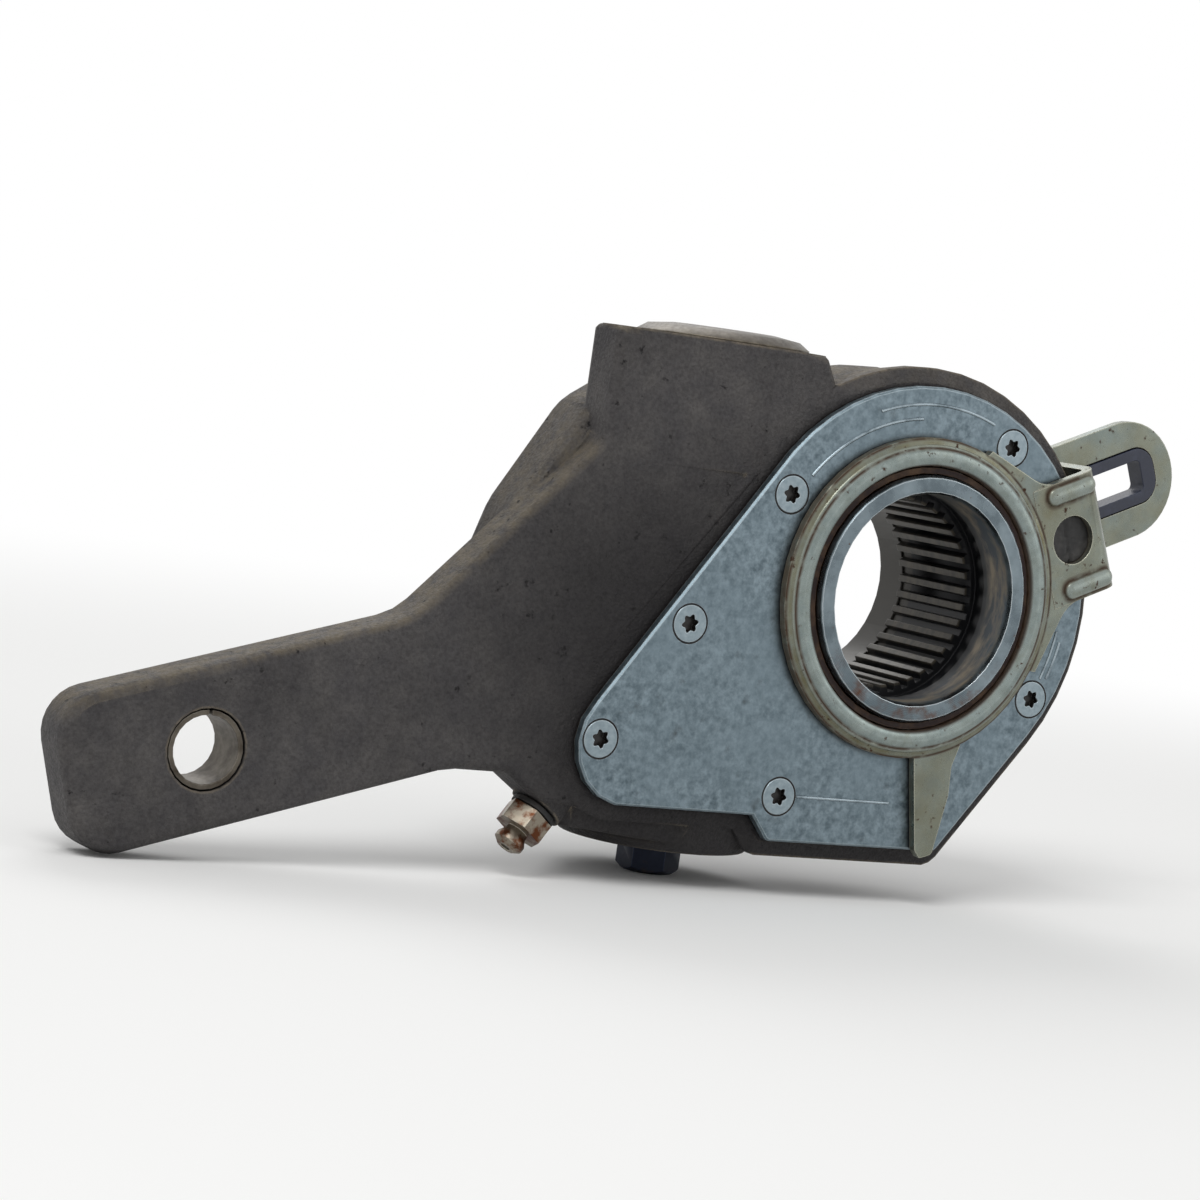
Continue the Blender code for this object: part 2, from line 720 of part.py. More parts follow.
def build_housing():
    drum = along_y(turned("housing", [
        (0, DRUM_BACK_Y),
        (DRUM_BACK_R - 0.0015, DRUM_BACK_Y),
        (DRUM_BACK_R, DRUM_BACK_Y - 0.0012),
        (DRUM_MID_R - 0.0002, DRUM_MID_Y + 0.005),
        (DRUM_MID_R, DRUM_MID_Y),
        (DRUM_MID_R - 0.0004, DRUM_MID_Y - 0.006),
        (DRUM_FRONT_R, PAD_FRONT),
        (0, PAD_FRONT),
    ], CAST_IRON, LARGE_STEPS))
    pad_back = LEVER_FRONT + 0.0030
    pad = cover_halves("pad", ((PAD_FRONT, PAD_LIP), (LEVER_FRONT, PAD_RAMP), (pad_back, PAD_RAMP)))
    pad_root = cover_halves("pad_root", ((pad_back - OVERLAP, 0), (LEVER_BACK - 0.0005, -0.001)))
    lever = soft_prism("lever", lever_corners(), LEVER_FRONT, LEVER_BACK, CAST_EDGE)
    web = soft_prism("root_web", [
        (-0.0893, -0.0020, 0.004),
        (-0.0860, 0.0085, 0.012),
        (-0.0735, 0.0294, 0.010),
        (-0.0660, 0.0345, 0.004),
        (-0.0450, 0.0345, 0),
        (-0.0450, -0.0380, 0),
        (-0.0790, -0.0380, 0.006),
    ], LEVER_BACK - 0.0050, WEB_BACK, WEB_EDGE)
    corner_r = 0.0060
    corner_y = LEVER_FRONT + corner_r + 0.0001
    upper_boss = hull("upper_boss", [
        point
        for z in (0.0200, BOSS_TOP)
        for point in (
            flat_circle_points(WORM_X, WORM_Y, BOSS_R, z, 36)
            + flat_circle_points(BOSS_LEFT + corner_r, corner_y, corner_r, z, 16)
        )
    ])
    worm_boss = on_worm_axis(turned("worm_boss", [
        (0, 0.0250),
        (LOWER_BOSS_R, 0.0250),
        (LOWER_BOSS_R, BOSS_BOTTOM + 0.0015),
        (LOWER_BOSS_R - 0.0015, BOSS_BOTTOM),
        (0, BOSS_BOTTOM),
    ]))
    lower_boss = hull("lower_boss", [
        *flat_circle_points(WORM_X, WORM_Y, LOWER_BOSS_R - 0.0004, -0.0300, 28),
        *flat_circle_points(WORM_X, WORM_Y, LOWER_BOSS_R - 0.0004, BOSS_BOTTOM + 0.002, 28),
        *flat_circle_points(-0.0680, -0.0070, 0.0070, -0.0360, 14),
        *flat_circle_points(-0.0660, -0.0060, 0.0060, -0.0515, 14),
    ])
    fitting_profile = rod_profile(FITTING_BOSS_R, -FITTING_BOSS_DEPTH, 0)
    fitting_boss = at_fitting(turned("fitting_boss", fitting_profile, steps=SMALL_STEPS))
    join(drum, *pad, *pad_root, lever, web, upper_boss, worm_boss, lower_boss, fitting_boss)

    behind = WORM_Y + BOSS_R + OVERLAP
    wheel_cavity = along_y(turned("wheel_cavity", [
        (0, behind),
        (REAR_JOURNAL_R + SEAT, behind),
        (REAR_JOURNAL_R + SEAT, REAR_GROOVE_Y + 1.4 * O_RING_WIRE_R),
        (REAR_JOURNAL_R + 2 * O_RING_WIRE_R + 2 * SEAT, REAR_GROOVE_Y + 1.4 * O_RING_WIRE_R),
        (REAR_JOURNAL_R + 2 * O_RING_WIRE_R + 2 * SEAT, REAR_GROOVE_Y - 1.4 * O_RING_WIRE_R),
        (REAR_JOURNAL_R + SEAT, REAR_GROOVE_Y - 1.4 * O_RING_WIRE_R),
        (REAR_JOURNAL_R + SEAT, FACE_END + RUN),
        (WHEEL_CAVITY_R, FACE_END + RUN),
        (WHEEL_CAVITY_R, DISC_CAVITY_BACK),
        (DISC_CAVITY_R, DISC_CAVITY_BACK),
        (DISC_CAVITY_R, PAD_FRONT - OVERLAP),
        (0, PAD_FRONT - OVERLAP),
    ]))
    worm_bore = on_worm_axis(turned("worm_bore", [
        (0, BOSS_TOP + OVERLAP),
        (CAP_BORE_R, BOSS_TOP + OVERLAP),
        (CAP_BORE_R, CAP_SHOULDER),
        (SPRING_CHAMBER_R, CAP_SHOULDER),
        (SPRING_CHAMBER_R, SPRING_CHAMBER_BOTTOM),
        (WORM_CHAMBER_R, SPRING_CHAMBER_BOTTOM),
        (WORM_CHAMBER_R, CHAMBER_BOTTOM),
        (SHAFT_BORE_R, CHAMBER_BOTTOM),
        (SHAFT_BORE_R, BOSS_BOTTOM - OVERLAP),
        (0, BOSS_BOTTOM - OVERLAP),
    ]))
    front = PAD_FRONT - OVERLAP
    lug_pocket = box(
        "lug_pocket",
        (RACK_RIGHT - OVERLAP, front, -POCKET_TOP),
        (LUG_TIP_X + RUN, DISC_CAVITY_BACK + RUN, POCKET_TOP),
    )
    thread_end = COVER_FRONT + SCREW_LENGTH + 2 * SEAT
    thread_holes = screw_holes("thread_hole", SCREW_R + SEAT, front, thread_end)
    pin_profile = rod_profile(CLEVIS_HOLE_R, LEVER_FRONT - OVERLAP, LEVER_BACK + OVERLAP)
    pin_hole = along_y(turned("clevis_hole", pin_profile, steps=24))
    pin_hole.location = (CLEVIS_X, 0, CLEVIS_Z)
    grease_profile = rod_profile(FITTING_NECK_R + SEAT, -FITTING_STEM_DEPTH - OVERLAP, OVERLAP)
    grease_way = at_fitting(turned("grease_way", grease_profile, steps=TINY_STEPS))
    spot_profile = rod_profile(SPOT_FACE_R, 0, FITTING_HEX_HEIGHT)
    spot_face = at_fitting(turned("spot_face", spot_profile, steps=SMALL_STEPS))
    pockets = rack_pockets("pocket", front, RACK_TIP_Y + RUN, STEM_BACK + RUN)
    cut(drum, wheel_cavity, worm_bore, *pockets, lug_pocket, *thread_holes, pin_hole, grease_way, spot_face)


def rack_pockets(name, front, body_back, stem_back):
    """The rooms that the rack's body and its stem slide in."""
    left = RACK_LEFT - RUN
    right = RACK_RIGHT + RUN
    body_top = RACK_TOP + RACK_TRAVEL + RUN
    stem_left = RACK_RIGHT - STEM_WIDTH - RUN
    return (
        box(name + "_body", (left, front, POCKET_BOTTOM), (right, body_back, body_top)),
        box(
            name + "_stem",
            (stem_left, front, POCKET_BOTTOM - OVERLAP / 5),
            (right, stem_back, POCKET_TOP),
        ),
    )


def at_fitting(made):
    """Put an object at the grease fitting's seat, with its local Z pointing out of the casting."""
    made.location = FITTING_SEAT
    made.rotation_mode = "QUATERNION"
    made.rotation_quaternion = Vector(FITTING_DIRECTION).to_track_quat("Z", "Y")
    return made


def build_cover():
    edge = 0.0004
    cover, foot = cover_halves(
        "cover_plate",
        ((COVER_FRONT, -edge), (COVER_FRONT + edge, 0), (COVER_BACK, 0)),
        ZINC_PLATE,
    )
    join(cover, foot)
    bore = rod_profile(DISC_NECK_R + SEAT, COVER_FRONT - OVERLAP, COVER_BACK + OVERLAP)
    holes = [along_y(turned("cover_bore", bore))]
    sink = SCREW_HEAD_R - SCREW_R
    for number, (x, z) in enumerate(SCREW_PLACES, 1):
        wide = SCREW_HEAD_R + SEAT
        narrow = SCREW_R + SEAT
        hole = along_y(turned(f"countersink_{number}", [
            (0, COVER_BACK + OVERLAP),
            (narrow, COVER_BACK + OVERLAP),
            (narrow, COVER_FRONT + sink),
            (wide, COVER_FRONT),
            (wide, COVER_FRONT - OVERLAP),
            (0, COVER_FRONT - OVERLAP),
        ], steps=TINY_STEPS))
        hole.location = (x, 0, z)
        holes.append(hole)
    cut(cover, *holes)


def build_gasket():
    gasket, foot = cover_halves(
        "cover_gasket",
        ((GASKET_FRONT, -SEAT), (GASKET_FRONT + GASKET_THICKNESS, -SEAT)),
        GASKET_PAPER,
    )
    join(gasket, foot)
    front = GASKET_FRONT - OVERLAP
    back = GASKET_FRONT + GASKET_THICKNESS + OVERLAP
    bore = along_y(turned("gasket_bore", rod_profile(DISC_CAVITY_R, front, back)))
    pockets = rack_pockets("gasket_pocket", front, back, back + OVERLAP / 5)
    cut(gasket, bore, *pockets, *screw_holes("gasket_hole", SCREW_R + SEAT, front, back))


def build_cover_screws():
    """Countersunk screws, each with a six-lobed socket."""
    sink = SCREW_HEAD_R - SCREW_R
    for number, (x, z) in enumerate(SCREW_PLACES, 1):
        screw = along_y(turned(f"cover_screw_{number}", [
            (0, COVER_FRONT + SCREW_LENGTH),
            (SCREW_R, COVER_FRONT + SCREW_LENGTH),
            (SCREW_R, COVER_FRONT + sink + SEAT),
            (SCREW_HEAD_R, COVER_FRONT + SEAT / 2),
            (SCREW_HEAD_R, COVER_FRONT - SEAT / 3),
            (0, COVER_FRONT - SEAT / 3),
        ], BRIGHT_STEEL, TINY_STEPS))
        screw.location = (x, 0, z)
        lobes = [
            (math.tau * k / 12, SCREW_SOCKET_R if k % 2 else SCREW_SOCKET_R * 0.66)
            for k in range(12)
        ]
        socket = along_y(twisted(
            f"socket_{number}", lobes, COVER_FRONT - OVERLAP, COVER_FRONT + SCREW_SOCKET_DEPTH, 0, 1
        ))
        socket.location = (x, 0, z)
        cut(screw, socket)


def strip_outline(path, thickness, bend_r):
    """A bent strip's section: the path's corners rounded and given a thickness."""
    half = thickness / 2
    corners = []
    for side in (1, -1):
        row = []
        for i, point in enumerate(path):
            here = Vector(point)
            back = (here - Vector(path[i - 1])).normalized() if i else None
            ahead = (Vector(path[i + 1]) - here).normalized() if i + 1 < len(path) else None
            back = back or ahead
            ahead = ahead or back
            normal = Vector((-back.y - ahead.y, back.x + ahead.x)).normalized()
            stretch = half / normal.dot(Vector((-back.y, back.x)))
            moved = here + side * stretch * normal
            bend = back.cross(ahead) * side
            radius = 0 if abs(bend) < 0.01 else bend_r - math.copysign(half, bend)
            row.append((moved.x, moved.y, radius))
        corners += row if side == 1 else row[::-1]
    return rounded(corners)


def build_control_arm():
    """The stamping: a beaded ring, a pointer and a bracket bent back to the slotted end."""
    middle = (ARM_FRONT + ARM_BACK) / 2
    arc = [math.pi * k / 6 for k in range(1, 6)]
    arm = along_y(turned("control_arm", [
        (ARM_RING_INNER_R, ARM_BACK),
        (ARM_RING_OUTER_R, ARM_BACK),
        (ARM_RING_OUTER_R, ARM_FRONT + 0.0003),
        (ARM_RING_OUTER_R - 0.0003, ARM_FRONT),
        *[
            (ARM_BEAD_MID_R + ARM_BEAD_R * math.cos(a), ARM_FRONT - 0.6 * ARM_BEAD_R * math.sin(a))
            for a in arc
        ],
        (ARM_RING_INNER_R, ARM_FRONT),
    ], ZINC_YELLOW, LARGE_STEPS))
    section = strip_outline(
        (
            (ARM_RING_OUTER_R - 0.001, middle),
            (ARM_WEB_RADIUS, middle),
            (ARM_WEB_RADIUS, ARM_REAR_Y),
            (ARM_TIP_RADIUS + ARM_HALF_WIDTH + 0.001, ARM_REAR_Y),
        ),
        ARM_SHEET,
        ARM_BEND_R,
    )
    strip = prism("arm_strip", section, -ARM_HALF_WIDTH - 0.001, ARM_HALF_WIDTH + 0.001)
    strip.matrix_world = Matrix.Rotation(-ARM_ANGLE, 4, "Y") @ Matrix.Rotation(-math.pi / 2, 4, "X")
    blank = hull("arm_blank", [
        point
        for y in (ARM_FRONT - 0.005, ARM_REAR_Y + 0.005)
        for radial in (0.020, ARM_TIP_RADIUS)
        for point in circle_points(
            radial * math.cos(ARM_ANGLE), radial * math.sin(ARM_ANGLE), ARM_HALF_WIDTH, y, 40
        )
    ])
    keep_within(strip, blank)
    flare = ARM_HALF_WIDTH + ARM_FLARE
    widest = ARM_RING_OUTER_R - 0.0087
    narrowed = widest + 0.0110
    reach = narrowed + 0.0065
    root = ARM_RING_INNER_R + RUN
    flange = prism("arm_flare", arm_outline([
        (root, -ARM_HALF_WIDTH, 0),
        (root, ARM_HALF_WIDTH, 0),
        (widest - 0.0020, flare - 0.001, 0),
        (widest, flare, 0),
        (narrowed, ARM_HALF_WIDTH - 0.0001, 0.008),
        (reach, ARM_HALF_WIDTH - 0.0001, 0),
        (reach, -ARM_HALF_WIDTH + 0.0001, 0),
        (narrowed, -ARM_HALF_WIDTH + 0.0001, 0.008),
        (widest, -flare, 0),
        (widest - 0.0020, -flare + 0.001, 0),
    ]), ARM_FRONT + 0.0001, ARM_BACK - 0.0001)
    pointer = prism("pointer", rounded([
        (0.0040, -ARM_BEAD_MID_R, 0),
        (0.0042, -ARM_RING_OUTER_R - 0.0002, 0),
        (0.0076, -POINTER_TIP + 0.0016, 0.0006),
        (0.0090, -POINTER_TIP, 0.0006),
        (0.0119, -POINTER_TIP + 0.0009, 0.0012),
        (0.0139, -ARM_RING_OUTER_R - 0.0068, 0.003),
        (0.0136, -ARM_RING_OUTER_R - 0.0008, 0.003),
        (0.0150, -root - 0.0015, 0),
        (0.0110, -root, 0),
    ]), ARM_FRONT + 0.0001, ARM_BACK - 0.0001)
    ribs = []
    for side in (1, -1):
        across = side * ARM_RIB_OFFSET
        ribs.append(hull(f"rib_{side + 2}", [
            (x, y, z)
            for radial in (ARM_RIB_START, ARM_RIB_END)
            for y, radius in (
                (ARM_FRONT + OVERLAP, ARM_RIB_R),
                (ARM_FRONT - ARM_RIB_HEIGHT, ARM_RIB_R * 0.55),
            )
            for x, y, z in circle_points(
                radial * math.cos(ARM_ANGLE) - across * math.sin(ARM_ANGLE),
                radial * math.sin(ARM_ANGLE) + across * math.cos(ARM_ANGLE),
                radius, y, 12,
            )
        ]))
    join(arm, strip, flange, pointer, *ribs)
    hole_profile = rod_profile(ARM_HOLE_R, ARM_FRONT - ARM_SHEET, ARM_BACK + ARM_SHEET)
    hole = along_y(turned("arm_hole", hole_profile, steps=28))
    hole.location = (
        ARM_HOLE_RADIUS * math.cos(ARM_ANGLE), 0, ARM_HOLE_RADIUS * math.sin(ARM_ANGLE)
    )
    slot = prism("arm_slot", slot_outline(0), ARM_REAR_Y - 0.004, ARM_REAR_Y + 0.004)
    cut(arm, hole, slot)


def slot_outline(grow):
    """The outline of the slot in the control arm's end."""
    half = SLOT_HALF_WIDTH + grow
    radius = SLOT_CORNER_R + grow
    return arm_outline([
        (SLOT_START - grow, -half, 0.0010),
        (SLOT_END + grow, -half, radius),
        (SLOT_END + grow, half, radius),
        (SLOT_START - grow, half, 0.0010),
    ])


def build_slot_insert():
    """The plastic bush that lines the slot, clipped in from behind."""
    front = ARM_REAR_Y - ARM_SHEET / 2 - SEAT
    lip = ARM_REAR_Y + ARM_SHEET / 2 + SEAT
    insert = prism("slot_insert", slot_outline(-SEAT), front, lip + INSERT_LIP_DEPTH / 2, DARK_NYLON)
    join(insert, prism("insert_lip", slot_outline(INSERT_LIP), lip, lip + INSERT_LIP_DEPTH))
    cut(insert, prism("insert_opening", arm_outline([
        (INSERT_OPENING_START, -INSERT_HALF_OPENING, 0.0012),
        (INSERT_OPENING_END, -INSERT_HALF_OPENING, 0.0012),
        (INSERT_OPENING_END, INSERT_HALF_OPENING, 0.0012),
        (INSERT_OPENING_START, INSERT_HALF_OPENING, 0.0012),
    ]), front - OVERLAP, lip + INSERT_LIP_DEPTH + OVERLAP))


def build_control_disc():
    """The disc behind the cover, whose notch drives the rack."""
    disc = along_y(turned("control_disc", [
        (ARM_RING_INNER_R, DISC_BACK),
        (DISC_R, DISC_BACK),
        (DISC_R, DISC_FRONT),
        (DISC_NECK_R, DISC_FRONT),
        (DISC_NECK_R, NECK_FRONT),
        (ARM_RING_INNER_R, NECK_FRONT),
    ], BRIGHT_STEEL))
    cut(disc, box(
        "notch",
        (-DISC_R - OVERLAP, DISC_FRONT - OVERLAP, -NOTCH_HALF_WIDTH),
        (-NOTCH_BOTTOM_R, DISC_BACK + OVERLAP, NOTCH_HALF_WIDTH),
    ))


def build_rack():
    """The rack: slanted teeth towards the pinion, and a stem up to the lug in the notch."""
    rack = box(
        "control_rack",
        (RACK_LEFT, RACK_FRONT, RACK_BOTTOM),
        (RACK_RIGHT, RACK_ROOT_Y, RACK_TOP),
        DARK_STEEL,
    )
    pitch = math.tau * PINION_PITCH_R / PINION_TEETH
    slope = math.tan(PRESSURE_ANGLE)
    tip_half = pitch / 4 - PINION_BACKLASH / 2 - PINION_ADDENDUM * slope
    root_half = pitch / 4 - PINION_BACKLASH / 2 + PINION_DEDENDUM * slope
    teeth = []
    for k in range(-6, 6):
        middle = WORM_X + pitch * (k + 0.5)
        shape = bmesh.new()
        rows = []
        for z in (RACK_BOTTOM, RACK_TOP):
            x = middle + z * RACK_LEAN
            rows.append([
                shape.verts.new((x - root_half, RACK_ROOT_Y - OVERLAP, z)),
                shape.verts.new((x + root_half, RACK_ROOT_Y - OVERLAP, z)),
                shape.verts.new((x + root_half, RACK_ROOT_Y, z)),
                shape.verts.new((x + tip_half, RACK_TIP_Y, z)),
                shape.verts.new((x - tip_half, RACK_TIP_Y, z)),
                shape.verts.new((x - root_half, RACK_ROOT_Y, z)),
            ])
        for i in range(6):
            j = (i + 1) % 6
            shape.faces.new((rows[0][i], rows[0][j], rows[1][j], rows[1][i]))
        shape.faces.new(rows[0])
        shape.faces.new(rows[1])
        teeth.append(place(f"rack_tooth_{k + 7}", mesh_of("rack_tooth", shape)))
    comb = teeth[0]
    join(comb, *teeth[1:])
    keep_within(comb, box(
        "rack_ends",
        (RACK_LEFT, RACK_FRONT, RACK_BOTTOM - OVERLAP),
        (RACK_RIGHT, RACK_TIP_Y + OVERLAP, RACK_TOP + OVERLAP),
    ))
    stem_left = RACK_RIGHT - STEM_WIDTH
    stem = box(
        "stem",
        (stem_left, RACK_FRONT, RACK_TOP - OVERLAP),
        (RACK_RIGHT, STEM_BACK, LUG_HALF_HEIGHT),
    )
    lug = box(
        "lug",
        (stem_left, DISC_FRONT + RUN, -LUG_HALF_HEIGHT),
        (LUG_TIP_X, RACK_FRONT + OVERLAP, LUG_HALF_HEIGHT),
    )
    join(rack, comb, stem, lug)


def build_pinion():
    """The control pinion, whose teeth lean at 45 degrees so that the sliding rack turns it."""
    outline = gear_outline(
        PINION_TEETH, PINION_PITCH_R, PRESSURE_ANGLE, PINION_ADDENDUM, PINION_DEDENDUM, PINION_BACKLASH, 3
    )
    outline = [(angle - math.pi / 2, radius) for angle, radius in outline]
    pinion = on_worm_axis(twisted(
        "control_pinion", outline, PINION_BOTTOM, PINION_TOP, RACK_LEAN / PINION_PITCH_R, 5, DARK_STEEL
    ))
    bore = rod_profile(PINION_BORE_R, PINION_BOTTOM - OVERLAP, PINION_TOP + OVERLAP)
    cut(pinion, on_worm_axis(turned("pinion_bore", bore, steps=SMALL_STEPS)))


def build_worm_wheel():
    """The splined hub with helical teeth round its middle."""
    wheel = along_y(turned("worm_wheel", [
        (0, HUB_BACK),
        (REAR_JOURNAL_R - HUB_CHAMFER, HUB_BACK),
        (REAR_JOURNAL_R, HUB_BACK - HUB_CHAMFER),
        (REAR_JOURNAL_R, WORM_Y),
        (JOURNAL_R, WORM_Y),
        (JOURNAL_R, DISC_BACK + RUN),
        (HUB_END_R, DISC_BACK + RUN),
        (HUB_END_R, HUB_FRONT + HUB_CHAMFER),
        (HUB_END_R - HUB_CHAMFER, HUB_FRONT),
        (0, HUB_FRONT),
    ], HUB_STEEL, LARGE_STEPS))
    lead_angle = math.atan(WORM_LEAD / (math.tau * WORM_PITCH_R))
    outline = gear_outline(
        WHEEL_TEETH, WHEEL_PITCH_R, PRESSURE_ANGLE, TOOTH_ADDENDUM, TOOTH_DEDENDUM, TOOTH_BACKLASH, 3
    )
    half_tooth = math.pi / WHEEL_TEETH
    outline = [(angle + math.pi + half_tooth, radius) for angle, radius in outline]
    helix = WHEEL_HAND * math.tan(lead_angle) / WHEEL_PITCH_R
    teeth = along_y(twisted("wheel_teeth", outline, -WHEEL_FACE / 2, WHEEL_FACE / 2, helix, 3))
    teeth.location = (0, WORM_Y, 0)
    join(wheel, teeth)
    spline_front = HUB_FRONT + SPLINE_START
    spline_back = spline_front + SPLINE_LENGTH
    wheel_bore = along_y(turned("wheel_bore", [
        (0, HUB_BACK + OVERLAP),
        (REAR_BORE_R, HUB_BACK + OVERLAP),
        (REAR_BORE_R, spline_back - OVERLAP),
        (SPLINE_TIP_R - 0.0005, spline_back - OVERLAP),
        (SPLINE_TIP_R - 0.0005, spline_front),
        (BORE_GROOVE_R, spline_front),
        (BORE_GROOVE_R, spline_front - 0.0034),
        (BORE_R, spline_front - 0.0040),
        (BORE_R, HUB_FRONT + 0.0012),
        (BORE_MOUTH_R, HUB_FRONT + 0.0004),
        (BORE_MOUTH_R, HUB_FRONT - OVERLAP),
        (0, HUB_FRONT - OVERLAP),
    ]))
    step = math.tau / SPLINE_TEETH
    polar = []
    for tooth in range(SPLINE_TEETH):
        middle = tooth * step
        polar += [
            (middle - 0.30 * step, SPLINE_TIP_R),
            (middle - 0.20 * step, SPLINE_ROOT_R),
            (middle + 0.20 * step, SPLINE_ROOT_R),
            (middle + 0.30 * step, SPLINE_TIP_R),
        ]
    spline = along_y(twisted("spline", polar, spline_front - OVERLAP, spline_back, 0, 1))
    cut(wheel, wheel_bore, spline)


def build_worm_shaft():
    """The worm, its collar and the hexagon that a spanner turns."""
    layers = round(16 * WORM_LENGTH / WORM_LEAD)
    helix = math.tau / WORM_LEAD
    worm = on_worm_axis(twisted(
        "worm_shaft", worm_outline(), THREAD_BOTTOM, THREAD_TOP, helix, layers, DARK_STEEL
    ))
    shaft = on_worm_axis(turned("shaft", [
        (0, SHAFT_TOP),
        (SHAFT_R, SHAFT_TOP),
        (SHAFT_R, COLLAR_TOP),
        (COLLAR_R, COLLAR_TOP),
        (COLLAR_R, THREAD_TOP),
        (SHAFT_R, THREAD_TOP - OVERLAP),
        (SHAFT_R, HEX_BOTTOM + HEX_LENGTH),
        (0, HEX_BOTTOM + HEX_LENGTH),
    ], steps=SMALL_STEPS))
    end = on_worm_axis(hexagon("hex_end", HEX_FLATS, HEX_BOTTOM, HEX_BOTTOM + HEX_LENGTH + OVERLAP))
    corner_r = HEX_FLATS / math.sqrt(3)
    keep_within(end, on_worm_axis(turned("hex_chamfer", [
        (0, HEX_BOTTOM + 2 * HEX_LENGTH),
        (corner_r + OVERLAP, HEX_BOTTOM + 2 * HEX_LENGTH),
        (corner_r + OVERLAP, HEX_BOTTOM + 0.0014),
        (corner_r - 0.0012, HEX_BOTTOM),
        (0, HEX_BOTTOM),
    ], steps=SMALL_STEPS)))
    join(worm, shaft, end)


def build_worm_bearings():
    """The thrust bearing, spring, cap, bush and seals on the worm's axis."""
    inner = SHAFT_R + SEAT
    race = ring_profile(inner, BEARING_R, LOWER_RACE, LOWER_RACE + RACE_THICKNESS)
    on_worm_axis(turned("thrust_race_lower", race, BRIGHT_STEEL, 24))
    cage = ring_profile(inner + 0.0004, BEARING_R - 0.0004, CAGE_BOTTOM, CAGE_BOTTOM + CAGE_THICKNESS)
    on_worm_axis(turned("thrust_cage", cage, BRONZE, 24))
    race = ring_profile(inner, BEARING_R, UPPER_RACE, UPPER_RACE + RACE_THICKNESS)
    on_worm_axis(turned("thrust_race_upper", race, BRIGHT_STEEL, 24))
    step = SPRING_SEAT_BOTTOM + SPRING_SEAT_THICKNESS
    on_worm_axis(turned("spring_seat", [
        (inner, SPRING_SEAT_TOP),
        (SPRING_SEAT_R, SPRING_SEAT_TOP),
        (SPRING_SEAT_R, step),
        (BEARING_R, step),
        (BEARING_R, SPRING_SEAT_BOTTOM),
        (inner, SPRING_SEAT_BOTTOM),
    ], BRIGHT_STEEL, 28))
    on_worm_axis(coil(
        "worm_spring", SPRING_MEAN_R, SPRING_WIRE_R, SPRING_SEAT_TOP + SEAT, CAP_INSIDE - SEAT,
        SPRING_TURNS, 16, SPRING_STEEL,
    ))
    on_worm_axis(turned("end_cap", [
        (0, BOSS_TOP + CAP_RISE),
        (0.60 * CAP_R, BOSS_TOP + 0.95 * CAP_RISE),
        (0.88 * CAP_R, BOSS_TOP + 0.70 * CAP_RISE),
        (CAP_R, BOSS_TOP + 0.15 * CAP_RISE),
        (CAP_R, CAP_BOTTOM),
        (CAP_R - CAP_WALL, CAP_BOTTOM),
        (CAP_R - CAP_WALL, CAP_INSIDE),
        (0, CAP_INSIDE),
    ], BRIGHT_STEEL))
    on_worm_axis(o_ring(
        "cap_o_ring", CAP_R - O_RING_WIRE_R, O_RING_WIRE_R, CAP_BOTTOM - SEAT - O_RING_WIRE_R, RUBBER
    ))
    clutch_top = THREAD_BOTTOM - SEAT
    clutch_bottom = clutch_top - CLUTCH_LENGTH
    on_worm_axis(turned("clutch_wheel", [
        (inner, clutch_top),
        (CLUTCH_NECK_R, clutch_top),
        (CLUTCH_NECK_R, clutch_top - CLUTCH_WEB),
        (CLUTCH_R, clutch_top - 2 * CLUTCH_WEB),
        (CLUTCH_R, clutch_bottom),
        (PINION_BORE_R, clutch_bottom),
        (PINION_BORE_R, clutch_top - CLUTCH_WEB),
        (inner, clutch_top - CLUTCH_WEB),
    ], BRIGHT_STEEL, SMALL_STEPS))
    spring_r = PINION_BORE_R - SEAT - CLUTCH_WIRE_R
    spring_top = clutch_top - CLUTCH_WEB - SEAT
    spring_bottom = clutch_top - CLUTCH_SPRING_LENGTH
    on_worm_axis(coil(
        "clutch_spring", spring_r, CLUTCH_WIRE_R, spring_bottom, spring_top, CLUTCH_TURNS, 10, SPRING_STEEL
    ))
    seal_bottom = BOSS_BOTTOM + SEAT
    seal_top = seal_bottom + SHAFT_SEAL_LENGTH
    bush = ring_profile(inner, inner + BUSH_WALL, seal_top + SEAT, CHAMBER_BOTTOM - SEAT)
    on_worm_axis(turned("worm_bush", bush, BRONZE, SMALL_STEPS))
    seal = ring_profile(inner, inner + BUSH_WALL, seal_bottom, seal_top)
    on_worm_axis(turned("worm_seal", seal, RUBBER, SMALL_STEPS))


def build_hub_seals():
    seal_front = ARM_FRONT + SEAT
    seal_back = ARM_FRONT + HUB_SEAL_DEPTH
    front = ring_profile(HUB_END_R + SEAT, ARM_RING_INNER_R - SEAT, seal_front, seal_back)
    along_y(turned("hub_seal_front", front, RUBBER))
    mean_r = REAR_JOURNAL_R + SEAT + O_RING_WIRE_R
    along_y(o_ring("hub_seal_rear", mean_r, O_RING_WIRE_R, REAR_GROOVE_Y, RUBBER))


def build_clevis_bush():
    inner = CLEVIS_PIN_R
    bush = ring_profile(inner, inner + CLEVIS_BUSH_WALL, LEVER_FRONT + SEAT, LEVER_BACK - SEAT)
    made = along_y(turned("clevis_bush", bush, BRIGHT_STEEL, 24))
    made.location = (CLEVIS_X, 0, CLEVIS_Z)
    split = box(
        "bush_split",
        (CLEVIS_X - 0.0003, LEVER_FRONT - OVERLAP, CLEVIS_Z),
        (CLEVIS_X + 0.0003, LEVER_BACK + OVERLAP, CLEVIS_Z + 2 * CLEVIS_PIN_R),
    )
    cut(made, split)


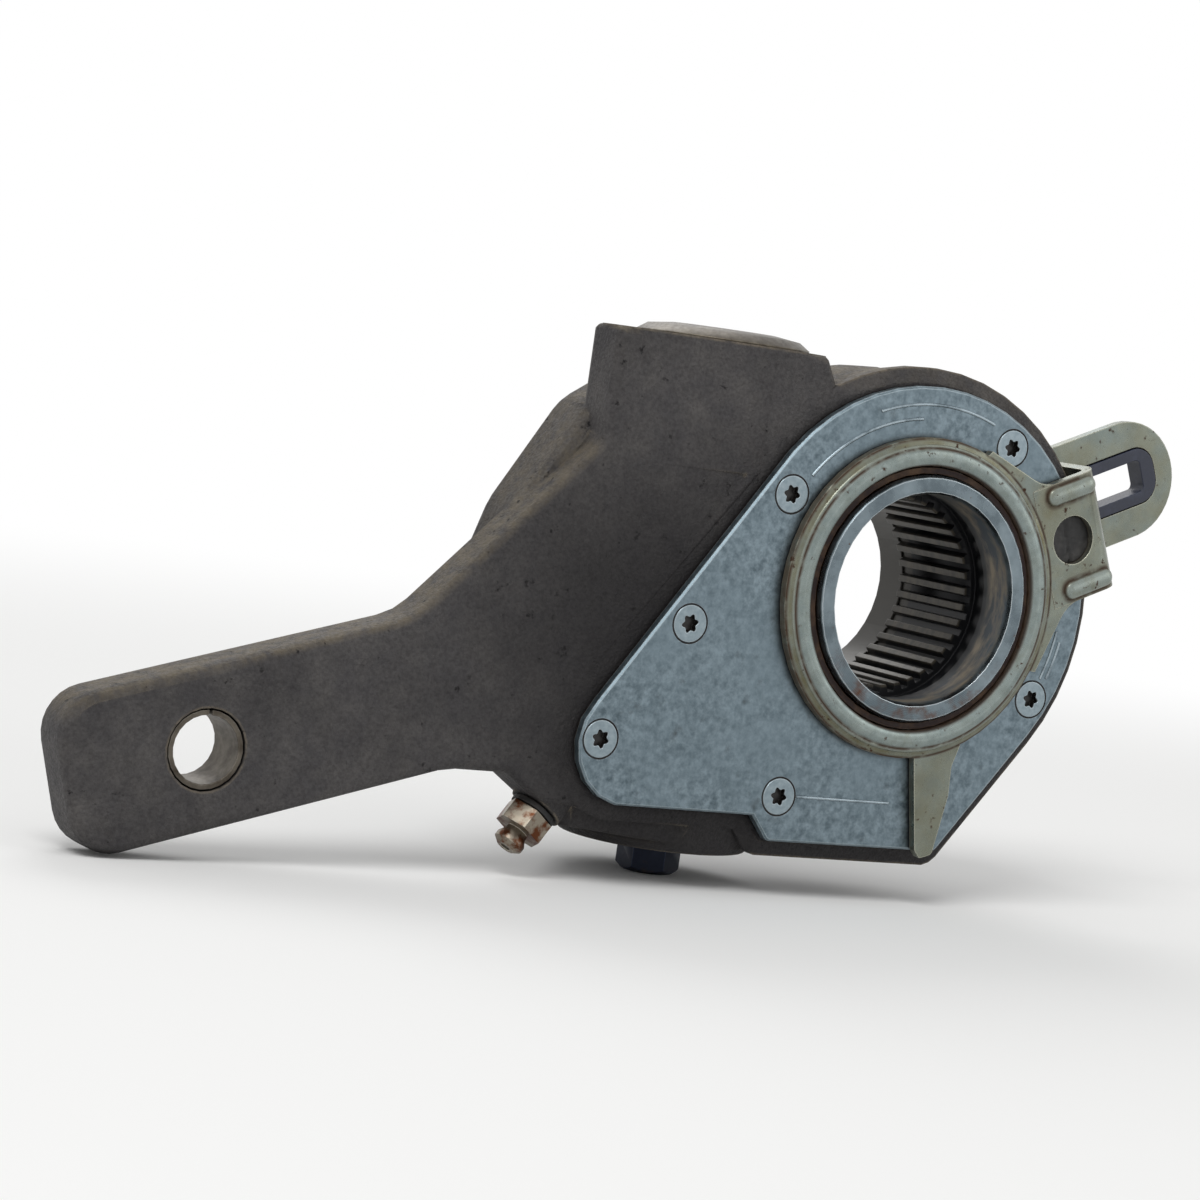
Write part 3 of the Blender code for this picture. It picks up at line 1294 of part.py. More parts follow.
def build_grease_fitting():
    """The grease fitting, its washer and the ball that closes its tip."""
    washer = ring_profile(
        FITTING_NECK_R + SEAT, FITTING_WASHER_R, SEAT, SEAT + FITTING_WASHER_THICKNESS
    )
    at_fitting(turned("fitting_washer", washer, RUBBER, SMALL_STEPS))
    base = 2 * SEAT + FITTING_WASHER_THICKNESS
    top = base + FITTING_HEX_HEIGHT
    body = at_fitting(hexagon("grease_fitting", FITTING_FLATS, base, top, BRIGHT_STEEL))
    join(body, at_fitting(turned("fitting_stem", [
        (0, FITTING_HEIGHT),
        (FITTING_TIP_R - 0.0012, FITTING_HEIGHT),
        (FITTING_TIP_R, FITTING_HEIGHT - 0.0009),
        (FITTING_TIP_R, FITTING_HEIGHT - 0.0019),
        (FITTING_NECK_R, top + 0.0008),
        (FITTING_NECK_R, -FITTING_STEM_DEPTH),
        (0, -FITTING_STEM_DEPTH),
    ], steps=16)))
    cut(body, at_fitting(turned("fitting_bore", [
        (0, FITTING_HEIGHT + OVERLAP),
        (FITTING_BORE_R, FITTING_HEIGHT + OVERLAP),
        (FITTING_BORE_R, FITTING_HEIGHT - 0.0024),
        (0, FITTING_HEIGHT - 0.0024),
    ], steps=12)))
    ball = bmesh.new()
    bmesh.ops.create_uvsphere(ball, u_segments=10, v_segments=6, radius=FITTING_BORE_R - SEAT / 2)
    bmesh.ops.translate(ball, vec=(0, 0, FITTING_HEIGHT - FITTING_BORE_R - SEAT / 2), verts=ball.verts)
    at_fitting(place("grease_ball", mesh_of("grease_ball", ball), BRIGHT_STEEL))


build_housing()
build_clevis_bush()
build_cover()
build_gasket()
build_cover_screws()
build_control_arm()
build_slot_insert()
build_control_disc()
build_rack()
build_pinion()
build_hub_seals()
build_worm_wheel()
build_worm_shaft()
build_worm_bearings()
build_grease_fitting()
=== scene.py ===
"""Looks of a used brake slack adjuster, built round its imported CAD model.

Lengths are in metres unless a name ends in _mm. The frame is the CAD's: the origin lies on the
worm wheel's axis, -Y is the side of the cover plate and +Z runs up the worm's axis.
"""

import json
import logging
import math
from abc import ABC, abstractmethod
from dataclasses import dataclass
from enum import Enum
from functools import cached_property
from typing import Any, ClassVar, Iterable, Optional, Sequence

import bmesh
import bpy
from mathutils import Matrix, Vector, noise

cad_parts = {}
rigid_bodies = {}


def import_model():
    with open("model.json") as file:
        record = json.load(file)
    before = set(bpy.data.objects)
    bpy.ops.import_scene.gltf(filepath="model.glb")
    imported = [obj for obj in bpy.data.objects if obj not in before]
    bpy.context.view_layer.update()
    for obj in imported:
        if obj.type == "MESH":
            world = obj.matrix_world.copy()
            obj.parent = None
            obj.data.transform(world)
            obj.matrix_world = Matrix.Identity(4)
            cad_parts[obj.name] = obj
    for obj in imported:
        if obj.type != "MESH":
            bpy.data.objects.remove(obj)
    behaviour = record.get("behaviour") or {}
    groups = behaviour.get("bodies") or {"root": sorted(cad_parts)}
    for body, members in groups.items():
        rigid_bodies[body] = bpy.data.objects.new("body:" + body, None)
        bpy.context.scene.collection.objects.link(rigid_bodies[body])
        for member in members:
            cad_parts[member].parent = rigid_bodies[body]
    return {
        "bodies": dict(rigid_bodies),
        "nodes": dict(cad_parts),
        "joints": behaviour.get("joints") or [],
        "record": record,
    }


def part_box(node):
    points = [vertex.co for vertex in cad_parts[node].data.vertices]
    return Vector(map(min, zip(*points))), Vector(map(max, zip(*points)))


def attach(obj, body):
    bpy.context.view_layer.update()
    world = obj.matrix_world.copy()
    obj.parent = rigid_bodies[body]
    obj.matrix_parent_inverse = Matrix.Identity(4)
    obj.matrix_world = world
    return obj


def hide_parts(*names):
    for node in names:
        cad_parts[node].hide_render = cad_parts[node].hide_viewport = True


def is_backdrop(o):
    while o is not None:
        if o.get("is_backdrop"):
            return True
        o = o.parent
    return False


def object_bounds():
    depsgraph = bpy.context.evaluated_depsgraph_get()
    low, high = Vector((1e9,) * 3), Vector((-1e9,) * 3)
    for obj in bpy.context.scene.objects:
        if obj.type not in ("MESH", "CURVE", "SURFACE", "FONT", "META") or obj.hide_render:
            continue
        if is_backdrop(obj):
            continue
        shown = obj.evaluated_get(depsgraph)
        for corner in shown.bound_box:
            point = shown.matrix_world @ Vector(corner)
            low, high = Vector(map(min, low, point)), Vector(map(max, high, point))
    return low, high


log = logging.getLogger("slack_adjuster")

Point = tuple[float, float]
Place = tuple[float, float, float]
Material = bpy.types.Material
Node = bpy.types.Node
Piece = bpy.types.Object
Socket = bpy.types.NodeSocket
Tree = bpy.types.NodeTree

ARM_ANGLE = math.radians(23.4)
MM_PER_M = 1000.0
WHITE = "#ffffff"
NOISE_ROUGHNESS = 0.6
RIM_SAMPLES, CREVICE_SAMPLES = 6, 8
# How well the rounded normal still matches the plain one where wear begins, and where it is full.
RIM_BEGINS, RIM_FULL = 0.995, 0.93
# How open a corner is where the corner mask begins unless a finish says more, and where it is full.
CREVICE_BEGINS, CREVICE_FULL = 0.80, 0.35
# The sockets of a Mix node that mixes colours.
MIX_SHARE, MIX_BELOW, MIX_ABOVE, MIX_COLOUR = 0, 6, 7, 2
# A CAD mesh's points closer than this are one, and faces flatter to each other than this are too.
MERGE, FLAT_DEGREES = 2e-6, 0.6
# The angle over which an edge stays sharp, on most pieces and on wires and rings.
SHARP_DEGREES, ROUND_DEGREES = 32, 70


class Turning(Enum):
    """The axis that a turned piece goes round."""

    HUB = "hub"
    WORM = "worm"


def linear(text: str) -> tuple[float, float, float, float]:
    """Turn an sRGB hex colour into the linear values that a shader reads.

    Args:
        text: a colour such as "#8fa0ac".

    Returns:
        Linear red, green and blue with an alpha of 1.
    """
    channels = [int(text[i:i + 2], 16) / 255 for i in (1, 3, 5)]
    red, green, blue = [
        c / 12.92 if c <= 0.04045 else ((c + 0.055) / 1.055) ** 2.4 for c in channels
    ]
    return red, green, blue, 1.0


def connect(tree: Tree, entry: Socket, value: Any) -> None:
    """Link a socket to a node's input, or set the input to a value.

    Args:
        tree: the node tree.
        entry: the input.
        value: the socket or the value.
    """
    if isinstance(value, Socket):
        tree.links.new(value, entry)
    else:
        entry.default_value = value


def add_node(
    tree: Tree, kind: str, links: Optional[dict[Any, Any]] = None, **settings: Any
) -> Node:
    """Add one node with its settings and its inputs.

    Args:
        tree: the node tree.
        kind: the node's type name.
        links: input name or index to a socket to link or a value to set.
        settings: attributes of the node itself.

    Returns:
        The new node.
    """
    node = tree.nodes.new(kind)
    for name, value in settings.items():
        setattr(node, name, value)
    for key, value in (links or {}).items():
        connect(tree, node.inputs[key], value)
    return node


@dataclass(frozen=True)
class Patch:
    """Soft patches of noise, which begin at its low value and are full at its high one.

    The shift moves the pattern, so that two masks differ, and the detail makes its rims ragged.
    """

    size_mm: float
    low: float
    high: float
    shift: float = 0.0
    detail: float = 4.0


@dataclass(frozen=True)
class Limit:
    """Where a mask rises from 0 to 1, and over which width. A negative width makes it fall."""

    at_mm: float
    soft_mm: float


@dataclass(frozen=True)
class Ring:
    """A circle round the hub's axis, and how far from it a mask reaches."""

    radius_mm: float
    half_width_mm: float


@dataclass(frozen=True)
class Skin:
    """How far wear reaches from an edge, how the gloss varies, and the relief's depth and force."""

    rim_mm: float
    spread: float
    depth_mm: float
    strength: float


@dataclass(frozen=True)
class Finish(ABC):
    """What every finish has: a name, a colour, how light leaves it and its skin."""

    name: str
    colour: str
    metallic: float
    roughness: float
    skin: ClassVar[Skin]

    @abstractmethod
    def material(self) -> Material:
        """Build the material."""


@dataclass
class Paintwork:
    """A material while it is built. Its masks are sockets that give 0 to 1."""

    finish: Finish

    def __post_init__(self) -> None:
        """Make the plain material."""
        self.made = bpy.data.materials.new(self.finish.name)
        self.made.use_nodes = True
        self.made.diffuse_color = linear(self.finish.colour)
        self.tree = self.made.node_tree
        self.feed("Base Color", linear(self.finish.colour))
        self.feed("Metallic", self.finish.metallic)
        self.feed("Roughness", self.finish.roughness)
        self.where = add_node(self.tree, "ShaderNodeTexCoord").outputs["Object"]

    def feed(self, entry: str, value: Any) -> None:
        """Set one of the shader's inputs to a value, or link a socket to it."""
        connect(self.tree, self.tree.nodes["Principled BSDF"].inputs[entry], value)

    @cached_property
    def axes(self) -> Any:
        """The object's coordinates apart, as sockets X, Y and Z."""
        return add_node(self.tree, "ShaderNodeSeparateXYZ", {0: self.where}).outputs

    @cached_property
    def radius(self) -> Socket:
        """The distance from the hub's axis."""
        return self.length(self.scaled((1, 0, 1)))

    @cached_property
    def normal(self) -> Socket:
        """The surface's own direction."""
        return add_node(self.tree, "ShaderNodeNewGeometry").outputs["Normal"]

    @cached_property
    def rounded(self) -> Socket:
        """The surface's direction as if its sharp edges were rounded."""
        reach = {"Radius": self.finish.skin.rim_mm / MM_PER_M}
        return add_node(self.tree, "ShaderNodeBevel", reach, samples=RIM_SAMPLES).outputs[0]

    @cached_property
    def rims(self) -> Socket:
        """A mask of the sharp edges, found from the piece's own shape.

        Returns:
            The mask.
        """
        pair = {0: self.rounded, 1: self.normal}
        match = add_node(self.tree, "ShaderNodeVectorMath", pair, operation="DOT_PRODUCT")
        return self.between(match.outputs["Value"], RIM_BEGINS, RIM_FULL)

    def scaled(self, by: Place) -> Socket:
        """The object's coordinates multiplied along each axis."""
        pair = {0: self.where, 1: by}
        return add_node(self.tree, "ShaderNodeVectorMath", pair, operation="MULTIPLY").outputs[0]

    def length(self, vector: Socket) -> Socket:
        """The length of a vector."""
        found = add_node(self.tree, "ShaderNodeVectorMath", {0: vector}, operation="LENGTH")
        return found.outputs["Value"]

    def between(self, value: Socket, low: float, high: float) -> Socket:
        """A mask that goes from 0 to 1 as a value goes from low to high, which may be lower."""
        limits = {"Value": value, "From Min": low, "From Max": high}
        return add_node(self.tree, "ShaderNodeMapRange", limits).outputs[0]

    def varied(self, mask: Socket, clear: Any, full: Any) -> Socket:
        """A number that goes from clear to full as a mask goes from 0 to 1."""
        limits = {"Value": mask, "To Min": clear, "To Max": full}
        return add_node(self.tree, "ShaderNodeMapRange", limits).outputs[0]

    def joined(self, operation: str, masks: Sequence[Any]) -> Socket:
        """Join masks or numbers one after the other.

        Args:
            operation: the sum that joins two of them.
            masks: the masks and numbers.

        Returns:
            The joined mask.
        """
        result = masks[0]
        for mask in masks[1:]:
            pair = {0: result, 1: mask}
            result = add_node(self.tree, "ShaderNodeMath", pair, operation=operation).outputs[0]
        return result

    def product(self, *masks: Any) -> Socket:
        """A mask of where all the masks show, thinned by any plain number among them."""
        return self.joined("MULTIPLY", masks)

    def either(self, *masks: Any) -> Socket:
        """A mask of where any of the masks shows."""
        return self.joined("MAXIMUM", masks)

    def patches(self, patch: Patch, over: Optional[Socket] = None) -> Socket:
        """A mask of soft patches.

        Args:
            patch: the patches' size and limits.
            over: the coordinates that they lie on, if not the object's own.

        Returns:
            The mask.
        """
        moved = add_node(self.tree, "ShaderNodeMapping", {
            "Vector": self.where if over is None else over,
            "Location": (patch.shift, -patch.shift, patch.shift),
        })
        cloudy = add_node(self.tree, "ShaderNodeTexNoise", {
            "Vector": moved.outputs[0], "Scale": MM_PER_M / patch.size_mm,
            "Detail": patch.detail, "Roughness": NOISE_ROUGHNESS,
        })
        return self.between(cloudy.outputs[0], patch.low, patch.high)

    def beyond(self, value: Socket, limit: Limit) -> Socket:
        """A mask of where a length in metres is past a limit."""
        low, high = limit.at_mm - limit.soft_mm / 2, limit.at_mm + limit.soft_mm / 2
        return self.between(value, low / MM_PER_M, high / MM_PER_M)

    def ring(self, ring: Ring) -> Socket:
        """A mask that is 1 on a circle and falls to 0 beside it.

        Args:
            ring: the circle.

        Returns:
            The mask.
        """
        off = {0: self.radius, 1: ring.radius_mm / MM_PER_M}
        side = add_node(self.tree, "ShaderNodeMath", off, operation="SUBTRACT").outputs[0]
        away = add_node(self.tree, "ShaderNodeMath", {0: side}, operation="ABSOLUTE").outputs[0]
        return self.between(away, ring.half_width_mm / MM_PER_M, 0.0)

    def crevices(self, reach_mm: float, begins: float = CREVICE_BEGINS) -> Socket:
        """A mask of corners and of what is beside other pieces, found from how hidden each point
        is.

        Args:
            reach_mm: how far out of a corner the mask reaches.
            begins: how open a corner may be and still hold some, from 0 to 1.

        Returns:
            The mask.
        """
        reach = {"Distance": reach_mm / MM_PER_M}
        hidden = add_node(self.tree, "ShaderNodeAmbientOcclusion", reach, samples=CREVICE_SAMPLES)
        return self.between(hidden.outputs["AO"], begins, CREVICE_FULL)

    def layered(self, base: Any, *coats: tuple[Socket, Any]) -> Socket:
        """Lay colours over one another.

        Args:
            base: the lowest colour, as hex text or a socket.
            coats: masks, each with the colour that shows where it is 1.

        Returns:
            The colour on top.
        """
        below = linear(base) if isinstance(base, str) else base
        for mask, coat in coats:
            above = linear(coat) if isinstance(coat, str) else coat
            entries = {MIX_SHARE: mask, MIX_BELOW: below, MIX_ABOVE: above}
            mixed = add_node(self.tree, "ShaderNodeMix", entries, data_type="RGBA")
            below = mixed.outputs[MIX_COLOUR]
        return below

    def gloss(self, mask: Socket) -> Socket:
        """The finish's roughness, made to vary with a mask."""
        middle, half = self.finish.roughness, self.finish.skin.spread / 2
        return self.varied(mask, middle - half, middle + half)

    def complete(self, colour: Socket, rough: Socket, height: Socket) -> Material:
        """Link the shader's colour, roughness and relief.

        Args:
            colour: the colour.
            rough: the roughness.
            height: the relief from 0 to 1.

        Returns:
            The material.
        """
        skin = self.finish.skin
        relief = add_node(self.tree, "ShaderNodeBump", {
            "Height": height, "Distance": skin.depth_mm / MM_PER_M, "Strength": skin.strength,
            "Normal": self.rounded,
        })
        self.feed("Base Color", colour)
        self.feed("Roughness", rough)
        self.feed("Normal", relief.outputs[0])
        return self.made


@dataclass(frozen=True)
class SandCasting(Finish):
    """Ductile iron as cast in sand, handled and smeared with oil for years.

    The eye gets a near black grey skin with a sharp sandy grain, small pits, a darker tone towards
    the middle and the bottom, tan dust and painted top light on what faces up and tan dust on the
    rubbed rims, and painted shade in corners. The grain is drawn about twice as coarse as moulding
    sand, so that it shows.
    """

    skin: ClassVar[Skin] = Skin(0.9, 0.20, 0.20, 0.85)
    dust: str = "#5b5856"
    # Oil's colour, which also makes the skin darker towards the bottom and the middle.
    oil: str = "#1f1d1e"
    rubbed: str = "#7a7061"
    # Tan of dust, also the painted top light on what faces up.
    tan: str = "#6f6553"
    # Black of the pits, and of the painted shade in corners.
    pits_and_corner_shade: str = "#141112"
    sheen: float = 0.32
    dusty: Patch = Patch(6.0, 0.36, 0.74, detail=9)
    speckled: Patch = Patch(0.7, 0.40, 0.66, 2.1, 9)
    stained: Patch = Patch(26.0, 0.40, 0.70, 0.4, 10)
    ragged: Patch = Patch(3.0, 0.30, 0.60, 0.9, 7)
    pitted: Patch = Patch(2.4, 0.66, 0.72, 1.7, 5)
    grain: Patch = Patch(0.55, 0.25, 0.75, 0.1)
    lumps: Patch = Patch(6.0, 0.25, 0.80, 0.2)
    # Where the skin turns darker, towards the bottom and towards the middle.
    darker_below: Limit = Limit(14.0, -34.0)
    darker_within: Limit = Limit(88.0, -34.0)
    # How far a surface must face up to take the tan of dust and painted top light.
    facing_up_range: Point = (0.15, 0.75)
    dust_share: float = 0.80
    speck_share: float = 0.30
    stain_share: float = 0.52
    darker_share: float = 0.85
    tan_share: float = 0.60
    crevice_mm: float = 2.5
    pit_height: float = -1.6
    lump_height: float = 1.6

    def material(self) -> Material:
        """Build the material.

        Returns:
            The material.
        """
        work = Paintwork(self)
        work.feed("Specular IOR Level", self.sheen)
        specks, pits = work.patches(self.speckled), work.patches(self.pitted)
        ragged = work.patches(self.ragged)
        up = work.between(self.upward(work), *self.facing_up_range)
        # Darker towards the bottom and the middle.
        darker_low_and_middle = work.product(
            work.beyond(work.axes["Z"], self.darker_below), work.beyond(work.radius, self.darker_within)
        )
        colour = work.layered(
            self.colour,
            (work.product(work.patches(self.dusty), self.dust_share), self.dust),
            (work.product(specks, self.speck_share), self.oil),
            (work.product(work.patches(self.stained), self.stain_share), self.oil),
            (work.product(darker_low_and_middle, self.darker_share), self.oil),
            # Tan dust and painted top light on what faces up.
            (work.product(up, ragged, self.tan_share), self.tan),
            (work.product(work.rims, ragged), self.rubbed),
            # Black in the pits, and painted shade in corners.
            (work.either(pits, work.crevices(self.crevice_mm)), self.pits_and_corner_shade),
        )
        height = work.patches(self.grain)
        for mask, weight in ((pits, self.pit_height), (work.patches(self.lumps), self.lump_height)):
            entries = {0: mask, 1: weight, 2: height}
            step = add_node(work.tree, "ShaderNodeMath", entries, operation="MULTIPLY_ADD")
            height = step.outputs[0]
        return work.complete(colour, work.gloss(specks), height)

    def upward(self, work: Paintwork) -> Socket:
        """How far the surface faces up, from -1 to 1."""
        return add_node(work.tree, "ShaderNodeSeparateXYZ", {0: work.normal}).outputs["Z"]


@dataclass(frozen=True)
class DullZinc(Finish):
    """Clear bluish zinc plate over sheet steel, dulled in use.

    The eye gets a cool grey sheen, faint crystal-like mottling, patches of grime, a thin ring of
    painted shade beside the arm's edge, painted shade in corners, and brighter rims.
    """

    skin: ClassVar[Skin] = Skin(0.35, 0.14, 0.02, 0.35)
    pale: str = "#85949c"
    deep: str = "#525f66"
    rim: str = "#aab6bb"
    # The grime's colour, which also paints the shade beside the arm's edge and in corners.
    grime: str = "#3f4243"
    mottled: Patch = Patch(1.4, 0.32, 0.70, detail=6)
    clouded: Patch = Patch(20.0, 0.38, 0.70, 0.6)
    spotted: Patch = Patch(6.0, 0.62, 0.72, 0.2, 7)
    # A ring of painted shade on the plate beside the arm's outer edge.
    arm_edge_shade: Ring = Ring(32.0, 1.2)
    cloud_share: float = 0.65
    spot_share: float = 0.60
    crevice_mm: float = 1.2

    def material(self) -> Material:
        """Build the material.

        Returns:
            The material.
        """
        work = Paintwork(self)
        mottle = work.patches(self.mottled)
        # Grime patches, with painted shade beside the arm's edge and in corners.
        grime_spots_and_arm_shade = work.either(work.patches(self.spotted), work.ring(self.arm_edge_shade))
        grime_and_painted_shade = work.either(work.product(grime_spots_and_arm_shade, self.spot_share), work.crevices(self.crevice_mm))
        colour = work.layered(
            self.deep,
            (mottle, self.pale),
            (work.product(work.patches(self.clouded), self.cloud_share), self.colour),
            (grime_and_painted_shade, self.grime),
            (work.rims, self.rim),
        )
        return work.complete(colour, work.gloss(mottle), mottle)


@dataclass(frozen=True)
class SocketZinc(Finish):
    """Zinc-plated screw with old grime packed in its socket.

    The eye gets a bluish head a little brighter than the plate, with a dark star in it.
    """

    skin: ClassVar[Skin] = Skin(0.2, 0.12, 0.01, 0.3)
    pale: str = "#93a0a6"
    grime: str = "#171311"
    rim: str = "#b4bec2"
    clouded: Patch = Patch(1.2, 0.35, 0.70, 0.3, 5)
    socket: Limit = Limit(-18.95, 0.25)
    grime_metallic: float = 0.1

    def material(self) -> Material:
        """Build the material.

        Returns:
            The material.
        """
        work = Paintwork(self)
        cloud = work.patches(self.clouded)
        sunk = work.beyond(work.axes["Y"], self.socket)
        colour = work.layered(
            self.colour, (cloud, self.pale), (work.rims, self.rim), (sunk, self.grime)
        )
        work.feed("Metallic", work.varied(sunk, self.metallic, self.grime_metallic))
        return work.complete(colour, work.gloss(cloud), cloud)


@dataclass(frozen=True)
class YellowZinc(Finish):
    """Yellow-passivated zinc on a steel stamping, rusty in its grooves, with wear and painted
    highlights on its bead.

    The eye gets an olive sheet with brown-gold clouds, a silver bead with painted reflection
    streaks beside a gold flange with a rusty line between, bright rims, worn silver tops with a
    painted highlight on the bead and the ribs, and brown pits.
    """

    skin: ClassVar[Skin] = Skin(0.35, 0.18, 0.05, 0.4)
    gold: str = "#5f5636"
    # Silver tone, also the colour of the painted reflection streaks on the bead.
    silver: str = "#6f7a79"
    # Pale silver of wear with a painted highlight, on the bead's top and the rib tops.
    crest_wear_and_highlight: str = "#8f9996"
    rust: str = "#3b2411"
    bright: str = "#b3b3a3"
    silvered: Patch = Patch(8.0, 0.45, 0.65, 0.3)
    golden: Patch = Patch(8.0, 0.34, 0.80, detail=9)
    gilded: Patch = Patch(5.0, 0.25, 0.65, 1.3, 7)
    # Streaks of painted reflection along the bead.
    reflection_streaks: Patch = Patch(5.0, 0.12, 0.62, 0.8, 6)
    # Patches of wear, which also shape the painted highlight on the tops.
    rubbed: Patch = Patch(3.0, 0.25, 0.60, 1.1, 7)
    scuffed: Patch = Patch(1.6, 0.35, 0.70, 0.4, 6)
    ragged: Patch = Patch(4.0, 0.28, 0.50, 0.7, 7)
    pitted: Patch = Patch(1.8, 0.63, 0.70, 0.5, 5)
    flange: Ring = Ring(31.2, 1.4)
    bead_top: Ring = Ring(28.5, 0.9)
    line: Ring = Ring(30.15, 0.50)
    edge: Ring = Ring(32.0, 0.45)
    lip: Ring = Ring(26.6, 0.55)
    bead_within: Limit = Limit(29.9, -0.25)
    bead_front: Limit = Limit(-21.2, -0.3)
    rib_top: Limit = Limit(-21.8, -0.35)
    rib_front: Limit = Limit(-20.8, -0.3)
    foot_from: Limit = Limit(1.7, 0.3)
    foot_to: Limit = Limit(2.5, -0.9)
    silver_share: float = 0.60
    gold_share: float = 0.60
    flange_share: float = 0.80
    top_share: float = 0.65
    corner_share: float = 0.80
    foot_share: float = 0.85
    crevice_mm: float = 2.0
    crevice_begins: float = 0.93
    rust_metallic: float = 0.15
    rust_roughness: float = 0.90
    arm_angle: float = ARM_ANGLE
    rib_middle: Place = (0.04035, 0.0, 0.0)
    rib_reach: Place = (0.00425, 0.0, 0.0100)

    def material(self) -> Material:
        """Build the material.

        Returns:
            The material.
        """
        work = Paintwork(self)
        gold = work.either(
            work.product(work.patches(self.golden), self.gold_share),
            work.product(work.ring(self.flange), work.patches(self.gilded), self.flange_share),
        )
        front = work.axes["Y"]
        bead = work.product(
            work.beyond(work.radius, self.bead_within), work.beyond(front, self.bead_front)
        )
        rubbed = work.patches(self.rubbed)
        # Wear with a painted highlight, on the bead's top and on the tops of the ribs.
        crest_wear_and_highlight = work.product(work.ring(self.bead_top), rubbed, bead)
        tops = work.product(work.beyond(front, self.rib_top), rubbed, self.top_share)
        rust = self.rusted(work)
        colour = work.layered(
            self.colour,
            (work.product(work.patches(self.silvered), self.silver_share), self.silver),
            (gold, self.gold),
            # Silver streaks of painted reflection along the bead.
            (work.product(bead, work.patches(self.reflection_streaks)), self.silver),
            (work.either(crest_wear_and_highlight, tops), self.crest_wear_and_highlight),
            (work.rims, self.bright),
            (rust, self.rust),
        )
        work.feed("Metallic", work.varied(rust, self.metallic, self.rust_metallic))
        clean = work.gloss(work.patches(self.scuffed))
        rough = work.varied(rust, clean, self.rust_roughness)
        return work.complete(colour, rough, work.either(gold, rust))

    def rusted(self, work: Paintwork) -> Socket:
        """A mask of the rust in the line between the bands, at the edges and feet, and in pits.

        Args:
            work: the material's paintwork.

        Returns:
            The mask.
        """
        feet = work.product(self.rib_feet(work), self.foot_share)
        stains = work.either(work.ring(self.line), work.ring(self.edge), feet)
        corners = work.crevices(self.crevice_mm, self.crevice_begins)
        return work.either(
            work.product(stains, work.patches(self.ragged)),
            work.ring(self.lip),
            work.patches(self.pitted),
            work.product(corners, self.corner_share),
        )

    def rib_feet(self, work: Paintwork) -> Socket:
        """A mask of the thin band round the feet of the two pressed ribs, on the front only.

        Args:
            work: the material's paintwork.

        Returns:
            The mask.
        """
        turned = {"Vector": work.where, "Axis": (0, 1, 0), "Angle": self.arm_angle}
        spot = add_node(work.tree, "ShaderNodeVectorRotate", turned).outputs[0]
        for operation, by in (
            ("SUBTRACT", self.rib_middle), ("ABSOLUTE", None), ("SUBTRACT", self.rib_reach),
            ("MAXIMUM", (0, -1, -1)), ("MULTIPLY", (1, 0, 1)),
        ):
            links = {0: spot} if by is None else {0: spot, 1: by}
            step = add_node(work.tree, "ShaderNodeVectorMath", links, operation=operation)
            spot = step.outputs[0]
        away = work.length(spot)
        return work.product(
            work.beyond(away, self.foot_from), work.beyond(away, self.foot_to),
            work.beyond(work.axes["Y"], self.rib_front),
        )


